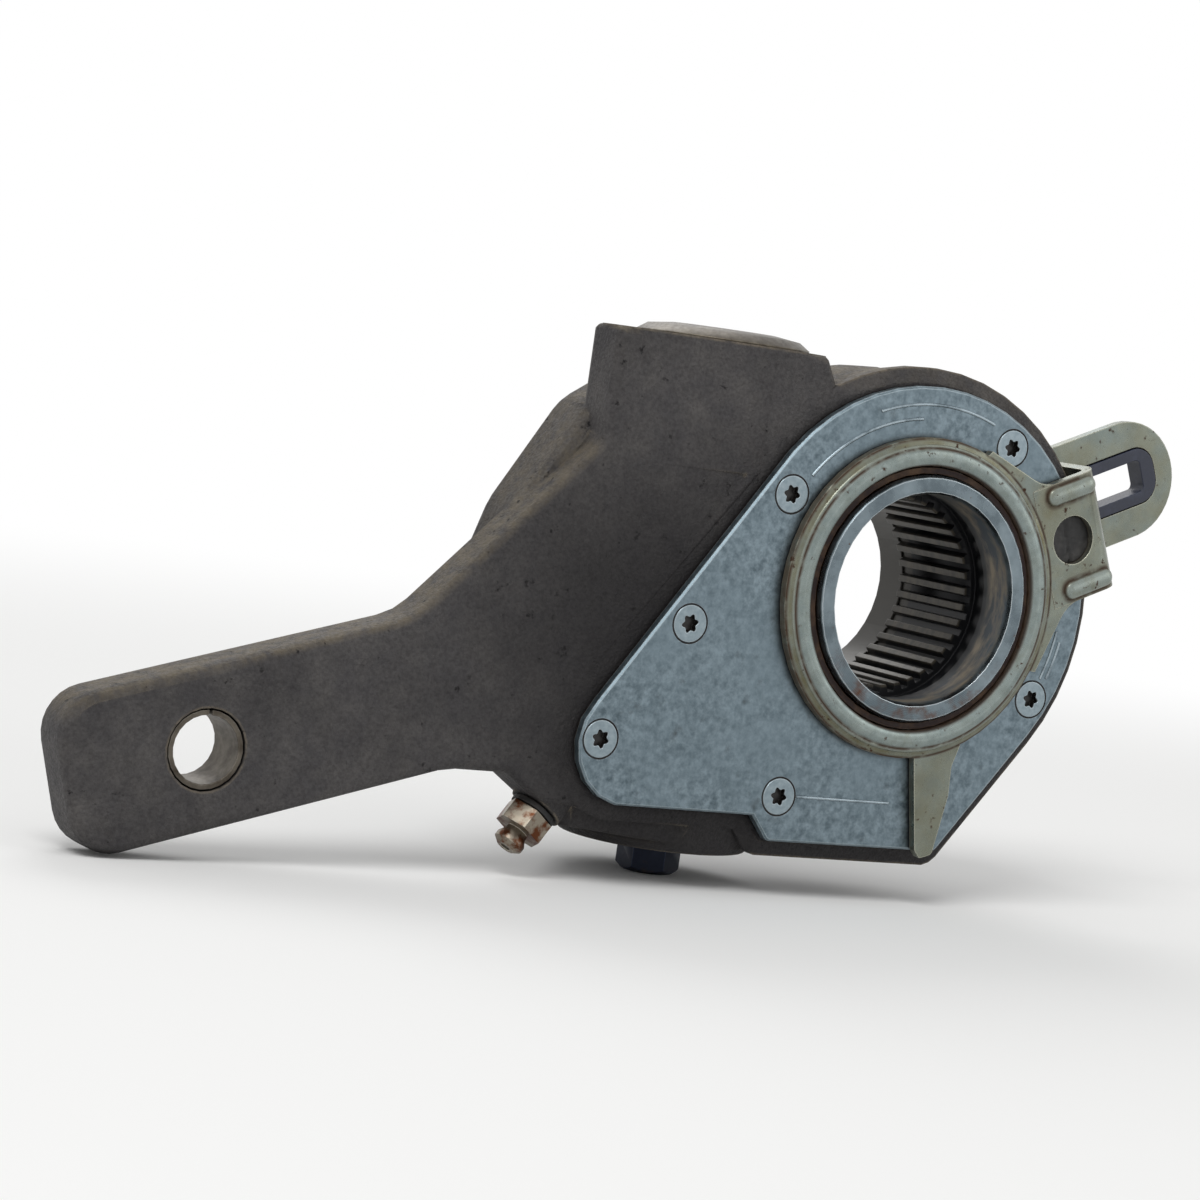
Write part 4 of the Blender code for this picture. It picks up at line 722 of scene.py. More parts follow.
@dataclass(frozen=True)
class MachinedHub(Finish):
    """Turned and plated steel outside, grimy inside its spline and painted dark there as shade.

    The eye gets fine turning rings on a bright face that is rusty low down, a mouth that darkens
    inwards with painted shade and brown smears, and a spline painted near black as shade, with
    grey-brown tooth tops.
    """

    skin: ClassVar[Skin] = Skin(0.3, 0.24, 0.004, 0.35)
    pale: str = "#7e8a90"
    bright: str = "#c3ccd0"
    rust: str = "#55341f"
    mouth: str = "#4d565d"
    # Near black of the painted shade deep in the bore.
    deep: str = "#0e0f12"
    smear: str = "#857a68"
    tooth: str = "#474238"
    back: str = "#3a3731"
    clouded: Patch = Patch(7.0, 0.40, 0.70, 0.1, 5)
    spotted: Patch = Patch(1.6, 0.66, 0.71, 0.8, 6)
    rusted: Patch = Patch(3.0, 0.46, 0.76, 0.9, 9)
    smeared: Patch = Patch(7.0, 0.42, 0.66, 0.2, 8)
    rubbed: Patch = Patch(5.0, 0.20, 0.60, 0.5, 5)
    stretch: Place = (1, 3, 1)
    low_down: Limit = Limit(-14.0, -8.0)
    wall: Limit = Limit(22.6, -0.2)
    face: Limit = Limit(-21.5, 0.6)
    # Where the painted shade in the bore begins and how far in it deepens.
    inward_shade: Limit = Limit(-17.25, 7.0)
    near_mouth: Limit = Limit(-15.5, -2.0)
    tooth_tops: Limit = Limit(19.6, -0.3)
    rear: Limit = Limit(11.3, 0.6)
    rear_share: float = 0.80
    crevice_mm: float = 1.5
    inner_metallic: float = 0.35
    turning_mm: float = 0.35

    def material(self) -> Material:
        """Build the material.

        Returns:
            The material.
        """
        work = Paintwork(self)
        cloud = work.patches(self.clouded)
        low = work.product(work.patches(self.rusted), work.beyond(work.axes["Z"], self.low_down))
        rust = work.either(work.patches(self.spotted), low, work.crevices(self.crevice_mm))
        inside = work.product(
            work.beyond(work.radius, self.wall), work.beyond(work.axes["Y"], self.face)
        )
        colour = work.layered(
            self.colour,
            (cloud, self.pale),
            (rust, self.rust),
            (work.rims, self.bright),
            (inside, self.lining(work)),
        )
        work.feed("Metallic", work.varied(inside, self.metallic, self.inner_metallic))
        rings = work.product(work.radius, math.tau * MM_PER_M / self.turning_mm)
        turned = add_node(work.tree, "ShaderNodeMath", {0: rings}, operation="SINE").outputs[0]
        return work.complete(colour, work.gloss(work.either(cloud, inside)), turned)

    def lining(self, work: Paintwork) -> Socket:
        """Mix the bore's colour, with painted shade that deepens inwards.

        Args:
            work: the material's paintwork.

        Returns:
            The colour.
        """
        depth, streaky = work.axes["Y"], work.scaled(self.stretch)
        smears = work.product(
            work.patches(self.smeared, streaky), work.beyond(depth, self.near_mouth)
        )
        tops = work.product(
            work.beyond(work.radius, self.tooth_tops), work.patches(self.rubbed, streaky)
        )
        return work.layered(
            self.mouth,
            # Painted shade: the bore turns near black inwards from its mouth.
            (work.beyond(depth, self.inward_shade), self.deep),
            (smears, self.smear),
            (tops, self.tooth),
            (work.product(work.beyond(depth, self.rear), self.rear_share), self.back),
        )


@dataclass(frozen=True)
class PlainMetal(Finish):
    """A metal with small stains, finer wear, and rims of a colour of their own."""

    skin: ClassVar[Skin] = Skin(0.25, 0.14, 0.01, 0.30)
    stain: str = "#4a3a2e"
    rim: str = "#d2d3cf"
    stained: Patch = Patch(5.0, 0.60, 0.72, 0.3, 8)
    worn: Patch = Patch(0.8, 0.30, 0.70, 0.6, 3)

    def material(self) -> Material:
        """Build the material.

        Returns:
            The material.
        """
        work = Paintwork(self)
        stains = work.patches(self.stained)
        colour = work.layered(self.colour, (work.rims, self.rim), (stains, self.stain))
        wear = work.patches(self.worn)
        return work.complete(colour, work.gloss(wear), wear)


@dataclass(frozen=True)
class SoftFilm(Finish):
    """A moulded, pressed or caked piece that isn't metal, with a fine matt grain and dust."""

    skin: ClassVar[Skin] = Skin(0.3, 0.12, 0.02, 0.35)
    dust: str = "#4d4a47"
    grain: Patch = Patch(0.5, 0.20, 0.80, 0.1, 3)
    dusty: Patch = Patch(6.0, 0.50, 0.85, 0.2, 6)
    rim_share: float = 0.50

    def material(self) -> Material:
        """Build the material.

        Returns:
            The material.
        """
        work = Paintwork(self)
        rims = work.product(work.rims, self.rim_share)
        dusty = work.patches(self.dusty)
        colour = work.layered(self.colour, (dusty, self.dust), (rims, self.dust))
        grain = work.patches(self.grain)
        return work.complete(colour, work.gloss(grain), grain)


FINISHES: dict[str, Finish] = {
    "cast_iron": SandCasting("sand_cast_iron", "#454344", 0.12, 0.70),
    "zinc_plate": DullZinc("dull_zinc_plate", "#6f7e86", 0.90, 0.42),
    "zinc_yellow": YellowZinc("yellow_passivated_zinc", "#7f847a", 0.95, 0.30),
    "hub_steel": MachinedHub("turned_hub_steel", "#5f6a70", 0.92, 0.30),
    # Heat-blued steel: near black with a cold blue sheen, brown stains and paler rims.
    "dark_steel": PlainMetal("blued_steel", "#141a29", 0.70, 0.44, "#2c211b", "#343f55"),
    # Bright zinc on steel: a cool grey shine with brown freckles.
    "bright_steel": PlainMetal("zinc_bright_steel", "#8f979b", 0.95, 0.34, "#4d3a2b", "#c4c8c8"),
    # Oiled spring wire: dark, slick grey with brown stains.
    "spring_steel": PlainMetal("oiled_spring_steel", "#4f5358", 0.95, 0.38, "#2f2722", "#85898c"),
    # Oil-soaked sintered bronze: dull warm brown, golden on its rims.
    "bronze": PlainMetal("sintered_bronze", "#8a683a", 0.95, 0.45, "#4a3820", "#c09a5e"),
    # Moulded nitrile rubber: matt near black with brown dust.
    "rubber": SoftFilm("nitrile_rubber", "#151617", 0.0, 0.70, "#2e2926"),
    # Pressed gasket fibre: dead matt brown-black.
    "gasket_paper": SoftFilm("gasket_fibre", "#292521", 0.0, 0.88, "#4a443c"),
    # Moulded nylon: dark blue-grey with a satin shine.
    "dark_nylon": SoftFilm("moulded_nylon", "#1f2434", 0.0, 0.46, "#40465a"),
}
# Turned steel under soft brown grime.
BUSH_FINISH = PlainMetal(
    "grimy_steel_bush", "#625c53", 0.80, 0.48, "#3b342c", "#8f8b83",
    Patch(4.0, 0.40, 0.70, 0.3, 8),
)
# Nickel plate worn to a warm grey, with broad dark stains.
CAP_FINISH = PlainMetal(
    "worn_nickel_cap", "#5d574d", 0.85, 0.42, "#352d25", "#8c8576",
    Patch(3.0, 0.34, 0.76, 0.3, 8),
)
# Plated steel whose plate has rusted through in patches.
FITTING_FINISH = PlainMetal(
    "rusty_plated_fitting", "#877f72", 0.90, 0.38, "#57321d", "#b8b2a4",
    Patch(3.0, 0.46, 0.58, 0.3, 8),
)
SCREW_FINISH = SocketZinc("plated_screw", "#7f8d94", 0.92, 0.34)
# Zinc painted pale along the cover's raised lines, as a painted highlight.
LINE_HIGHLIGHT_FINISH = PlainMetal(
    "rubbed_zinc_line", "#96a3aa", 0.90, 0.30, "#59656c", "#c2cbcf",
    Patch(6.0, 0.50, 0.70, 0.3, 8),
)
# Seal lip caked with red-brown rust and dust.
SEAL_FINISH = SoftFilm(
    "rust_caked_seal", "#231411", 0.0, 0.80, "#6a5138", Patch(0.8, 0.20, 0.80, 0.1, 3)
)
# Old grease baked to a black crust with a dull shine and grey dust.
CRUST_FINISH = SoftFilm(
    "caked_grease", "#0b0a0a", 0.0, 0.55, "#4b4947", Patch(0.7, 0.20, 0.80, 0.1, 3)
)
# Matt black ring in the gap round a screw head, as painted shade.
GAP_SHADE_FINISH = SoftFilm(
    "packed_grime", "#100e0e", 0.0, 0.85, "#2b2624", Patch(0.6, 0.20, 0.80, 0.1, 3)
)


@dataclass
class Workshop:
    """Holds the frame, the materials and the ways of making a piece."""

    frame: dict[str, Any]

    def __post_init__(self) -> None:
        """Build every material once."""
        self.materials = {slot: finish.material() for slot, finish in FINISHES.items()}
        self.slots = {p["node"]: p["material_slot"] for p in self.frame["record"]["subparts"]}

    def body_of(self, node: str) -> str:
        """The body that a CAD node belongs to."""
        bodies = self.frame["record"]["behaviour"]["bodies"]
        return next(body for body, nodes in bodies.items() if node in nodes)

    def coat(self, nodes: Iterable[str]) -> None:
        """Give CAD nodes that stay as they are their finish.

        Args:
            nodes: the nodes' names.
        """
        for name in nodes:
            node = self.frame["nodes"][name]
            node.data.materials.clear()
            node.data.materials.append(self.materials[self.slots[name]])
            log.info("coated %s", name)

    def settle(
        self, piece: Piece, body: str, slot: str, material: Optional[Material] = None
    ) -> Piece:
        """Dress a finished piece and tie it to its body.

        Args:
            piece: the piece, in place and with no modifiers.
            body: the body that it rides on.
            slot: the record's material slot.
            material: a finish of its own, if it has one.

        Returns:
            The piece.
        """
        piece.data.materials.clear()
        piece.data.materials.append(material or self.materials[slot])
        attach(piece, body)
        log.info("made %s, %d faces", piece.name, len(piece.data.polygons))
        return piece

    def smooth(
        self, node: str, name: str, edge_mm: float = 0.0, material: Optional[Material] = None,
        angle: float = SHARP_DEGREES,
    ) -> Piece:
        """Make a smooth copy of a CAD node, with its edges broken, and let it stand for the node.

        Args:
            node: the CAD node's name.
            name: the new piece's name.
            edge_mm: the width of the broken edges, or 0 to leave them to the material.
            material: a finish of its own, if it has one.
            angle: the angle in degrees over which an edge stays sharp.

        Returns:
            The new piece.
        """
        source = self.frame["nodes"][node]
        mesh = source.data.copy()
        shape = bmesh.new()
        shape.from_mesh(mesh)
        bmesh.ops.remove_doubles(shape, verts=shape.verts, dist=MERGE)
        bmesh.ops.dissolve_degenerate(shape, edges=shape.edges, dist=MERGE)
        flat = math.radians(FLAT_DEGREES)
        bmesh.ops.dissolve_limit(shape, angle_limit=flat, verts=shape.verts, edges=shape.edges)
        shape.to_mesh(mesh)
        shape.free()
        piece = new_piece(name, mesh)
        piece.data.shade_smooth()
        piece.data.set_sharp_from_angle(angle=math.radians(angle))
        if edge_mm:
            bevel = piece.modifiers.new("broken_edges", "BEVEL")
            bevel.width = edge_mm / MM_PER_M
            bevel.segments = 2
            bevel.limit_method = "ANGLE"
            bevel.angle_limit = math.radians(angle)
            bevel.use_clamp_overlap = True
        weighted = piece.modifiers.new("even_shading", "WEIGHTED_NORMAL")
        weighted.keep_sharp = True
        apply_modifiers(piece)
        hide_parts(node)
        return self.settle(piece, self.body_of(node), self.slots[node], material)


def new_piece(name: str, mesh: bpy.types.Mesh) -> Piece:
    """Put a mesh into the scene as an object at the origin.

    Args:
        name: the new piece's name.
        mesh: its mesh.

    Returns:
        The piece.
    """
    mesh.name = name
    piece = bpy.data.objects.new(name, mesh)
    bpy.context.scene.collection.objects.link(piece)
    return piece


def drawn_piece(
    name: str, points: Sequence[Place], edges: Sequence[tuple[int, int]] = (),
    faces: Sequence[Sequence[int]] = (),
) -> Piece:
    """Make a piece of plain points, edges and faces.

    Args:
        name: the piece's name.
        points: the places of its points.
        edges: pairs of the points' numbers.
        faces: the numbers of each face's points.

    Returns:
        The piece.
    """
    mesh = bpy.data.meshes.new(name)
    mesh.from_pydata(points, edges, faces)
    return new_piece(name, mesh)


def apply_modifiers(piece: Piece) -> None:
    """Turn a piece with its modifiers into a plain mesh.

    Args:
        piece: the piece.
    """
    bpy.context.view_layer.update()
    graph = bpy.context.evaluated_depsgraph_get()
    plain = bpy.data.meshes.new_from_object(piece.evaluated_get(graph), depsgraph=graph)
    piece.modifiers.clear()
    piece.data = plain
    plain.name = piece.name


def lathe(
    name: str, profile: Sequence[Point], about: Turning, centre: Vector, steps: int
) -> Piece:
    """Turn a closed profile into a ring.

    Args:
        name: the piece's name.
        profile: points of (radius, place along the axis).
        about: whether it goes round the hub's axis or the worm's.
        centre: a point on the axis.
        steps: how many facets it has round.

    Returns:
        The piece, with its place in its mesh.
    """
    shape = bmesh.new()
    rings = []
    for step in range(steps):
        angle = math.tau * step / steps
        across, up = math.cos(angle), math.sin(angle)
        row = []
        for radius, along in profile:
            if about is Turning.HUB:
                point = Vector((radius * across, along, radius * up))
            else:
                point = Vector((radius * across, radius * up, along))
            row.append(shape.verts.new(centre + point))
        rings.append(row)
    for row, following in zip(rings, rings[1:] + rings[:1]):
        for j in range(len(row)):
            k = (j + 1) % len(row)
            shape.faces.new((row[j], following[j], following[k], row[k]))
    return from_shape(name, shape)


def from_shape(name: str, shape: bmesh.types.BMesh, sharp: float = 40.0) -> Piece:
    """Turn a closed bmesh into a piece with its faces outwards.

    Args:
        name: the piece's name.
        shape: the bmesh, which is freed.
        sharp: the angle in degrees over which an edge stays sharp.

    Returns:
        The piece.
    """
    bmesh.ops.remove_doubles(shape, verts=shape.verts, dist=MERGE / 2)
    bmesh.ops.recalc_face_normals(shape, faces=shape.faces)
    mesh = bpy.data.meshes.new(name)
    shape.to_mesh(mesh)
    shape.free()
    piece = new_piece(name, mesh)
    mesh.shade_smooth()
    mesh.set_sharp_from_angle(angle=math.radians(sharp))
    return piece


def stack(shape: bmesh.types.BMesh, rings: Sequence[Sequence[Vector]]) -> None:
    """Skin a stack of closed rings that have as many points each, and close both ends.

    Args:
        shape: the bmesh to add to.
        rings: the rings' points.
    """
    rows = [[shape.verts.new(point) for point in ring] for ring in rings]
    count = len(rows[0])
    for row, following in zip(rows, rows[1:]):
        for i in range(count):
            j = (i + 1) % count
            shape.faces.new((row[i], row[j], following[j], following[i]))
    shape.faces.new(rows[0])
    shape.faces.new(rows[-1])


def run_nodes(piece: Piece, tree: Tree, values: dict[str, Any]) -> None:
    """Run a Geometry Nodes tree on a piece and keep the plain mesh.

    Args:
        piece: the piece that the tree works on.
        tree: the node tree.
        values: the value of each named input.
    """
    step = piece.modifiers.new(tree.name, "NODES")
    step.node_group = tree
    for item in tree.interface.items_tree:
        if item.item_type == "SOCKET" and item.in_out == "INPUT" and item.name in values:
            step[item.identifier] = values[item.name]
    apply_modifiers(piece)


def new_tree(name: str, inputs: dict[str, str]) -> tuple[Tree, Any]:
    """Begin a Geometry Nodes tree.

    Args:
        name: the tree's name.
        inputs: each input's name and kind of socket.

    Returns:
        The tree and its inputs' sockets.
    """
    tree = bpy.data.node_groups.new(name, "GeometryNodeTree")
    for label, kind in inputs.items():
        tree.interface.new_socket(label, in_out="INPUT", socket_type=f"NodeSocket{kind}")
    tree.interface.new_socket("Made", in_out="OUTPUT", socket_type="NodeSocketGeometry")
    return tree, add_node(tree, "NodeGroupInput").outputs


def close_tree(tree: Tree, made: Any, finish: Any) -> None:
    """End a tree: make its instances real, give them their material and put them out.

    Args:
        tree: the node tree.
        made: the geometry's socket.
        finish: the material's socket.
    """
    real = add_node(tree, "GeometryNodeRealizeInstances", {"Geometry": made})
    links = {"Geometry": real.outputs[0], "Material": finish}
    painted = add_node(tree, "GeometryNodeSetMaterial", links)
    add_node(tree, "NodeGroupOutput", {"Made": painted.outputs[0]})


@dataclass
class PhotoCamera:
    """The camera that took the photograph, found from the part's own circles and edges."""

    place: Place = (-0.3997, -0.5720, 0.0365)
    right: Place = (0.856575, -0.496167, 0.141764)
    down: Place = (0.088235, -0.129849, -0.987600)
    forward: Place = (0.508423, 0.858462, -0.067446)
    focal_px: float = 3408.9
    width_px: float = 1200.0
    sensor_mm: float = 36.0
    nearest: float = 0.01
    farthest: float = 20.0

    def build(self) -> None:
        """Add the camera and make it the scene's."""
        data = bpy.data.cameras.new("photo_camera")
        data.sensor_width = self.sensor_mm
        data.lens = self.focal_px / self.width_px * self.sensor_mm
        data.clip_start, data.clip_end = self.nearest, self.farthest
        camera = bpy.data.objects.new("photo_camera", data)
        bpy.context.scene.collection.objects.link(camera)
        rows = Vector(self.right), -Vector(self.down), -Vector(self.forward)
        turn = Matrix(rows).transposed().to_4x4()
        camera.matrix_world = Matrix.Translation(self.place) @ turn
        bpy.context.scene.camera = camera
        log.info("camera lens %.1f mm", data.lens)


@dataclass(frozen=True)
class Lamp:
    """A round soft lamp that points at the origin: its name, place, width and power in watts."""

    name: str
    place: Place
    size: float
    power: float


@dataclass
class Studio:
    """A pale floor, a white surround and soft lamps."""

    floor_gap: float = 0.0002
    floor_size: float = 12.0
    floor_colour: str = "#f7f7f6"
    floor_roughness: float = 0.95
    fade_start: float = 0.28
    fade_end: float = 0.80
    surround: float = 0.50
    lamps: tuple[Lamp, ...] = (
        Lamp("key_lamp", (-0.70, -0.60, 1.20), 0.80, 9.0),
        Lamp("side_lamp", (0.95, -0.85, 0.45), 0.80, 1.5),
        Lamp("back_lamp", (0.25, 0.95, 0.95), 0.80, 4.0),
    )

    def build(self, lowest: float) -> None:
        """Build the surround, the floor and the lamps.

        Args:
            lowest: the height of the object's lowest point.
        """
        bpy.context.scene.view_settings.view_transform = "Standard"
        self.light_world()
        self.lay_floor(lowest - self.floor_gap)
        for lamp in self.lamps:
            light = bpy.data.lights.new(lamp.name, "AREA")
            light.shape = "DISK"
            light.size = lamp.size
            light.energy = lamp.power
            holder = bpy.data.objects.new(lamp.name, light)
            holder.location = lamp.place
            holder.rotation_euler = (-Vector(lamp.place)).to_track_quat("-Z", "Y").to_euler()
            bpy.context.scene.collection.objects.link(holder)

    def light_world(self) -> None:
        """A surround that looks white and lights the object softly."""
        world = bpy.data.worlds.new("surround")
        bpy.context.scene.world = world
        world.use_nodes = True
        tree = world.node_tree
        back = tree.nodes["Background"]
        back.inputs["Color"].default_value = linear(WHITE)
        levels = {"Value": self.seen(tree), "To Min": self.surround}
        strength = add_node(tree, "ShaderNodeMapRange", levels).outputs[0]
        tree.links.new(strength, back.inputs["Strength"])

    def seen(self, tree: Tree) -> Socket:
        """A mask that is 1 for the rays that show the surround itself.

        Args:
            tree: the node tree.

        Returns:
            The mask.
        """
        path = add_node(tree, "ShaderNodeLightPath").outputs
        shown = path["Is Camera Ray"]
        for ray in ("Is Glossy Ray", "Is Transmission Ray"):
            links = {0: shown, 1: path[ray]}
            shown = add_node(tree, "ShaderNodeMath", links, operation="MAXIMUM").outputs[0]
        return shown

    def lay_floor(self, height: float) -> None:
        """Lay the floor under the object.

        Args:
            height: the floor's height.
        """
        half = self.floor_size / 2
        corners = [(x * half, y * half, height) for x, y in ((-1, -1), (1, -1), (1, 1), (-1, 1))]
        floor = drawn_piece("floor", corners, faces=[(0, 1, 2, 3)])
        paint = bpy.data.materials.new("matt_floor")
        paint.use_nodes = True
        shader = paint.node_tree.nodes["Principled BSDF"]
        shader.inputs["Base Color"].default_value = linear(self.floor_colour)
        shader.inputs["Roughness"].default_value = self.floor_roughness
        shader.inputs["Specular IOR Level"].default_value = 0.0
        self.fade_out(paint.node_tree, shader)
        floor.data.materials.append(paint)
        floor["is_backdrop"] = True

    def fade_out(self, tree: Tree, near: Node) -> None:
        """Let the floor's far part pass into the white surround, so that no horizon shows.

        Args:
            tree: the floor's node tree.
            near: the shader that it has round the object.
        """
        where = add_node(tree, "ShaderNodeTexCoord").outputs["Object"]
        pair = {0: where, 1: (1, 1, 0)}
        flat = add_node(tree, "ShaderNodeVectorMath", pair, operation="MULTIPLY").outputs[0]
        away = add_node(tree, "ShaderNodeVectorMath", {0: flat}, operation="LENGTH")
        far = add_node(tree, "ShaderNodeMapRange", {
            "Value": away.outputs["Value"], "From Min": self.fade_start, "From Max": self.fade_end,
        }, interpolation_type="SMOOTHSTEP")
        white = add_node(tree, "ShaderNodeEmission", {"Color": linear(WHITE), "Strength": 1.0})
        masks = {0: far.outputs[0], 1: self.seen(tree)}
        shown = add_node(tree, "ShaderNodeMath", masks, operation="MULTIPLY").outputs[0]
        entries = {0: shown, 1: near.outputs[0], 2: white.outputs[0]}
        both = add_node(tree, "ShaderNodeMixShader", entries)
        tree.links.new(both.outputs[0], tree.nodes["Material Output"].inputs["Surface"])


@dataclass
class Casting:
    """The cast lever with the split bush in its pin hole."""

    shop: Workshop
    sharp: float = 38.0
    bush_edge_mm: float = 0.12
    boss_corner: Place = (-0.03902, -0.01578, 0.0200)
    corner_reach: float = 0.0002
    lever_face: float = -0.01532

    def build(self) -> None:
        """Build the casting's pieces."""
        lever = self.shop.smooth("housing", "lever_casting", angle=self.sharp)
        self.blend_boss(lever)
        bush = BUSH_FINISH.material()
        self.shop.smooth("clevis_bush", "split_bush", self.bush_edge_mm, bush)

    def blend_boss(self, lever: Piece) -> None:
        """Bring the upper boss's lower corner back to the lever's face, so no step shows there.

        Args:
            lever: the casting's piece.
        """
        corner = Vector(self.boss_corner)
        for vertex in lever.data.vertices:
            if (vertex.co - corner).length < self.corner_reach:
                vertex.co.y = self.lever_face


@dataclass
class CoverScrews:
    """The countersunk screws with lobed sockets."""

    shop: Workshop
    count: int = 6
    head_radius: float = 0.0037
    head_edge: float = 0.00015
    shank_radius: float = 0.0019
    length: float = 0.0090
    tip_share: float = 0.7
    tip_length: float = 0.3
    socket_radius: float = 0.00158
    socket_mouth: float = 1.06
    socket_wave: float = 0.17
    socket_depth: float = 0.0014
    lobes: int = 6
    facets: int = 72
    sharp: float = 35.0
    rim_play: float = 0.00003
    rim_gap: float = 0.00027
    rim_sunk: float = 0.00006
    rim_deep: float = 0.00030
    rim_facets: int = 64
    screw_seed: int = 4
    rim_seed: int = 9

    def ring(self, radius: float, along: float, wave: float = 0.0) -> list[Vector]:
        """One ring of the screw's surface.

        Args:
            radius: its mean radius.
            along: how far behind the head's face it lies.
            wave: how strongly the lobes bend it, as a share of the radius.

        Returns:
            The ring's points.
        """
        points = []
        for k in range(self.facets):
            angle = math.tau * k / self.facets
            reach = radius * (1 + wave * math.cos(self.lobes * angle))
            points.append(Vector((reach * math.cos(angle), along, reach * math.sin(angle))))
        return points

    def screw(self) -> Piece:
        """Build one screw at the origin, pointing along +Y.

        Returns:
            The screw.
        """
        sink = self.head_radius - self.shank_radius
        shape = bmesh.new()
        stack(shape, [
            self.ring(self.shank_radius * self.tip_share, self.length),
            self.ring(self.shank_radius, self.length - self.shank_radius * self.tip_length),
            self.ring(self.shank_radius, sink),
            self.ring(self.head_radius, self.head_edge * 2),
            self.ring(self.head_radius, self.head_edge),
            self.ring(self.head_radius - self.head_edge, 0),
            self.ring(self.socket_radius * self.socket_mouth, 0, self.socket_wave),
            self.ring(self.socket_radius, self.head_edge / 2, self.socket_wave),
            self.ring(self.socket_radius, self.socket_depth, self.socket_wave),
        ])
        return from_shape("screw_template", shape, self.sharp)

    def rim(self) -> Piece:
        """Build the thin black ring that fills the gap round one head, as painted shade.

        Returns:
            The ring.
        """
        inner, outer = self.head_radius + self.rim_play, self.head_radius + self.rim_gap
        near, far = self.rim_sunk, self.rim_deep
        section = [(inner, near), (outer, near), (outer, far), (inner, far)]
        return lathe("rim_template", section, Turning.HUB, Vector(), self.rim_facets)

    def build(self) -> None:
        """Set the screws and the painted shade round them into the cover with Geometry Nodes."""
        nodes = [f"cover_screw_{k + 1}" for k in range(self.count)]
        heads = []
        for node in nodes:
            low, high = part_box(node)
            heads.append(((low[0] + high[0]) / 2, low[1], (low[2] + high[2]) / 2))
        finish = SCREW_FINISH.material()
        screws = self.set_in("lobed_screws", heads, self.screw(), self.screw_seed, finish)
        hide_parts(*nodes)
        self.shop.settle(screws, "body", self.shop.slots[nodes[0]], finish)
        # Painted shade: a matt black ring in the gap round each head.
        finish = GAP_SHADE_FINISH.material()
        rims = self.set_in("screw_rims", heads, self.rim(), self.rim_seed, finish)
        self.shop.settle(rims, "body", "rubber", finish)

    def set_in(
        self, name: str, heads: Sequence[Place], single: Piece, seed: int,
        finish: Material,
    ) -> Piece:
        """Set copies of one shape on the middle of each head's face.

        Args:
            name: the new piece's name.
            heads: the middle of each head's face.
            single: the shape, which is removed.
            seed: what the copies' turning is drawn from.
            finish: their material.

        Returns:
            The piece that holds all the copies.
        """
        piece = drawn_piece(name, heads)
        values = {"Screw": single, "Turning seed": seed, "Finish": finish}
        run_nodes(piece, self.tree(), values)
        bpy.data.objects.remove(single)
        return piece

    def tree(self) -> Tree:
        """Build the tree that sets a screw on each point, turned at random about its axis.

        Returns:
            The tree.
        """
        tree, given = new_tree("screw_setting", {
            "Points": "Geometry", "Screw": "Object", "Turning seed": "Int", "Finish": "Material",
        })
        single = add_node(tree, "GeometryNodeObjectInfo", {"Object": given["Screw"]})
        turn = add_node(tree, "FunctionNodeRandomValue", {
            "Min": 0.0, "Max": 1.0, "Seed": given["Turning seed"],
        }, data_type="FLOAT")
        circle = {0: turn.outputs[1], 1: math.tau}
        angle = add_node(tree, "ShaderNodeMath", circle, operation="MULTIPLY")
        about = add_node(tree, "ShaderNodeCombineXYZ", {"Y": angle.outputs[0]})
        placed = add_node(tree, "GeometryNodeInstanceOnPoints", {
            "Points": given["Points"], "Instance": single.outputs["Geometry"],
            "Rotation": about.outputs[0],
        })
        close_tree(tree, placed.outputs[0], given["Finish"])
        return tree


@dataclass(frozen=True)
class Arc:
    """A coined arc on the cover: its radius, and its first and last direction in degrees."""

    radius: float
    start: float
    end: float


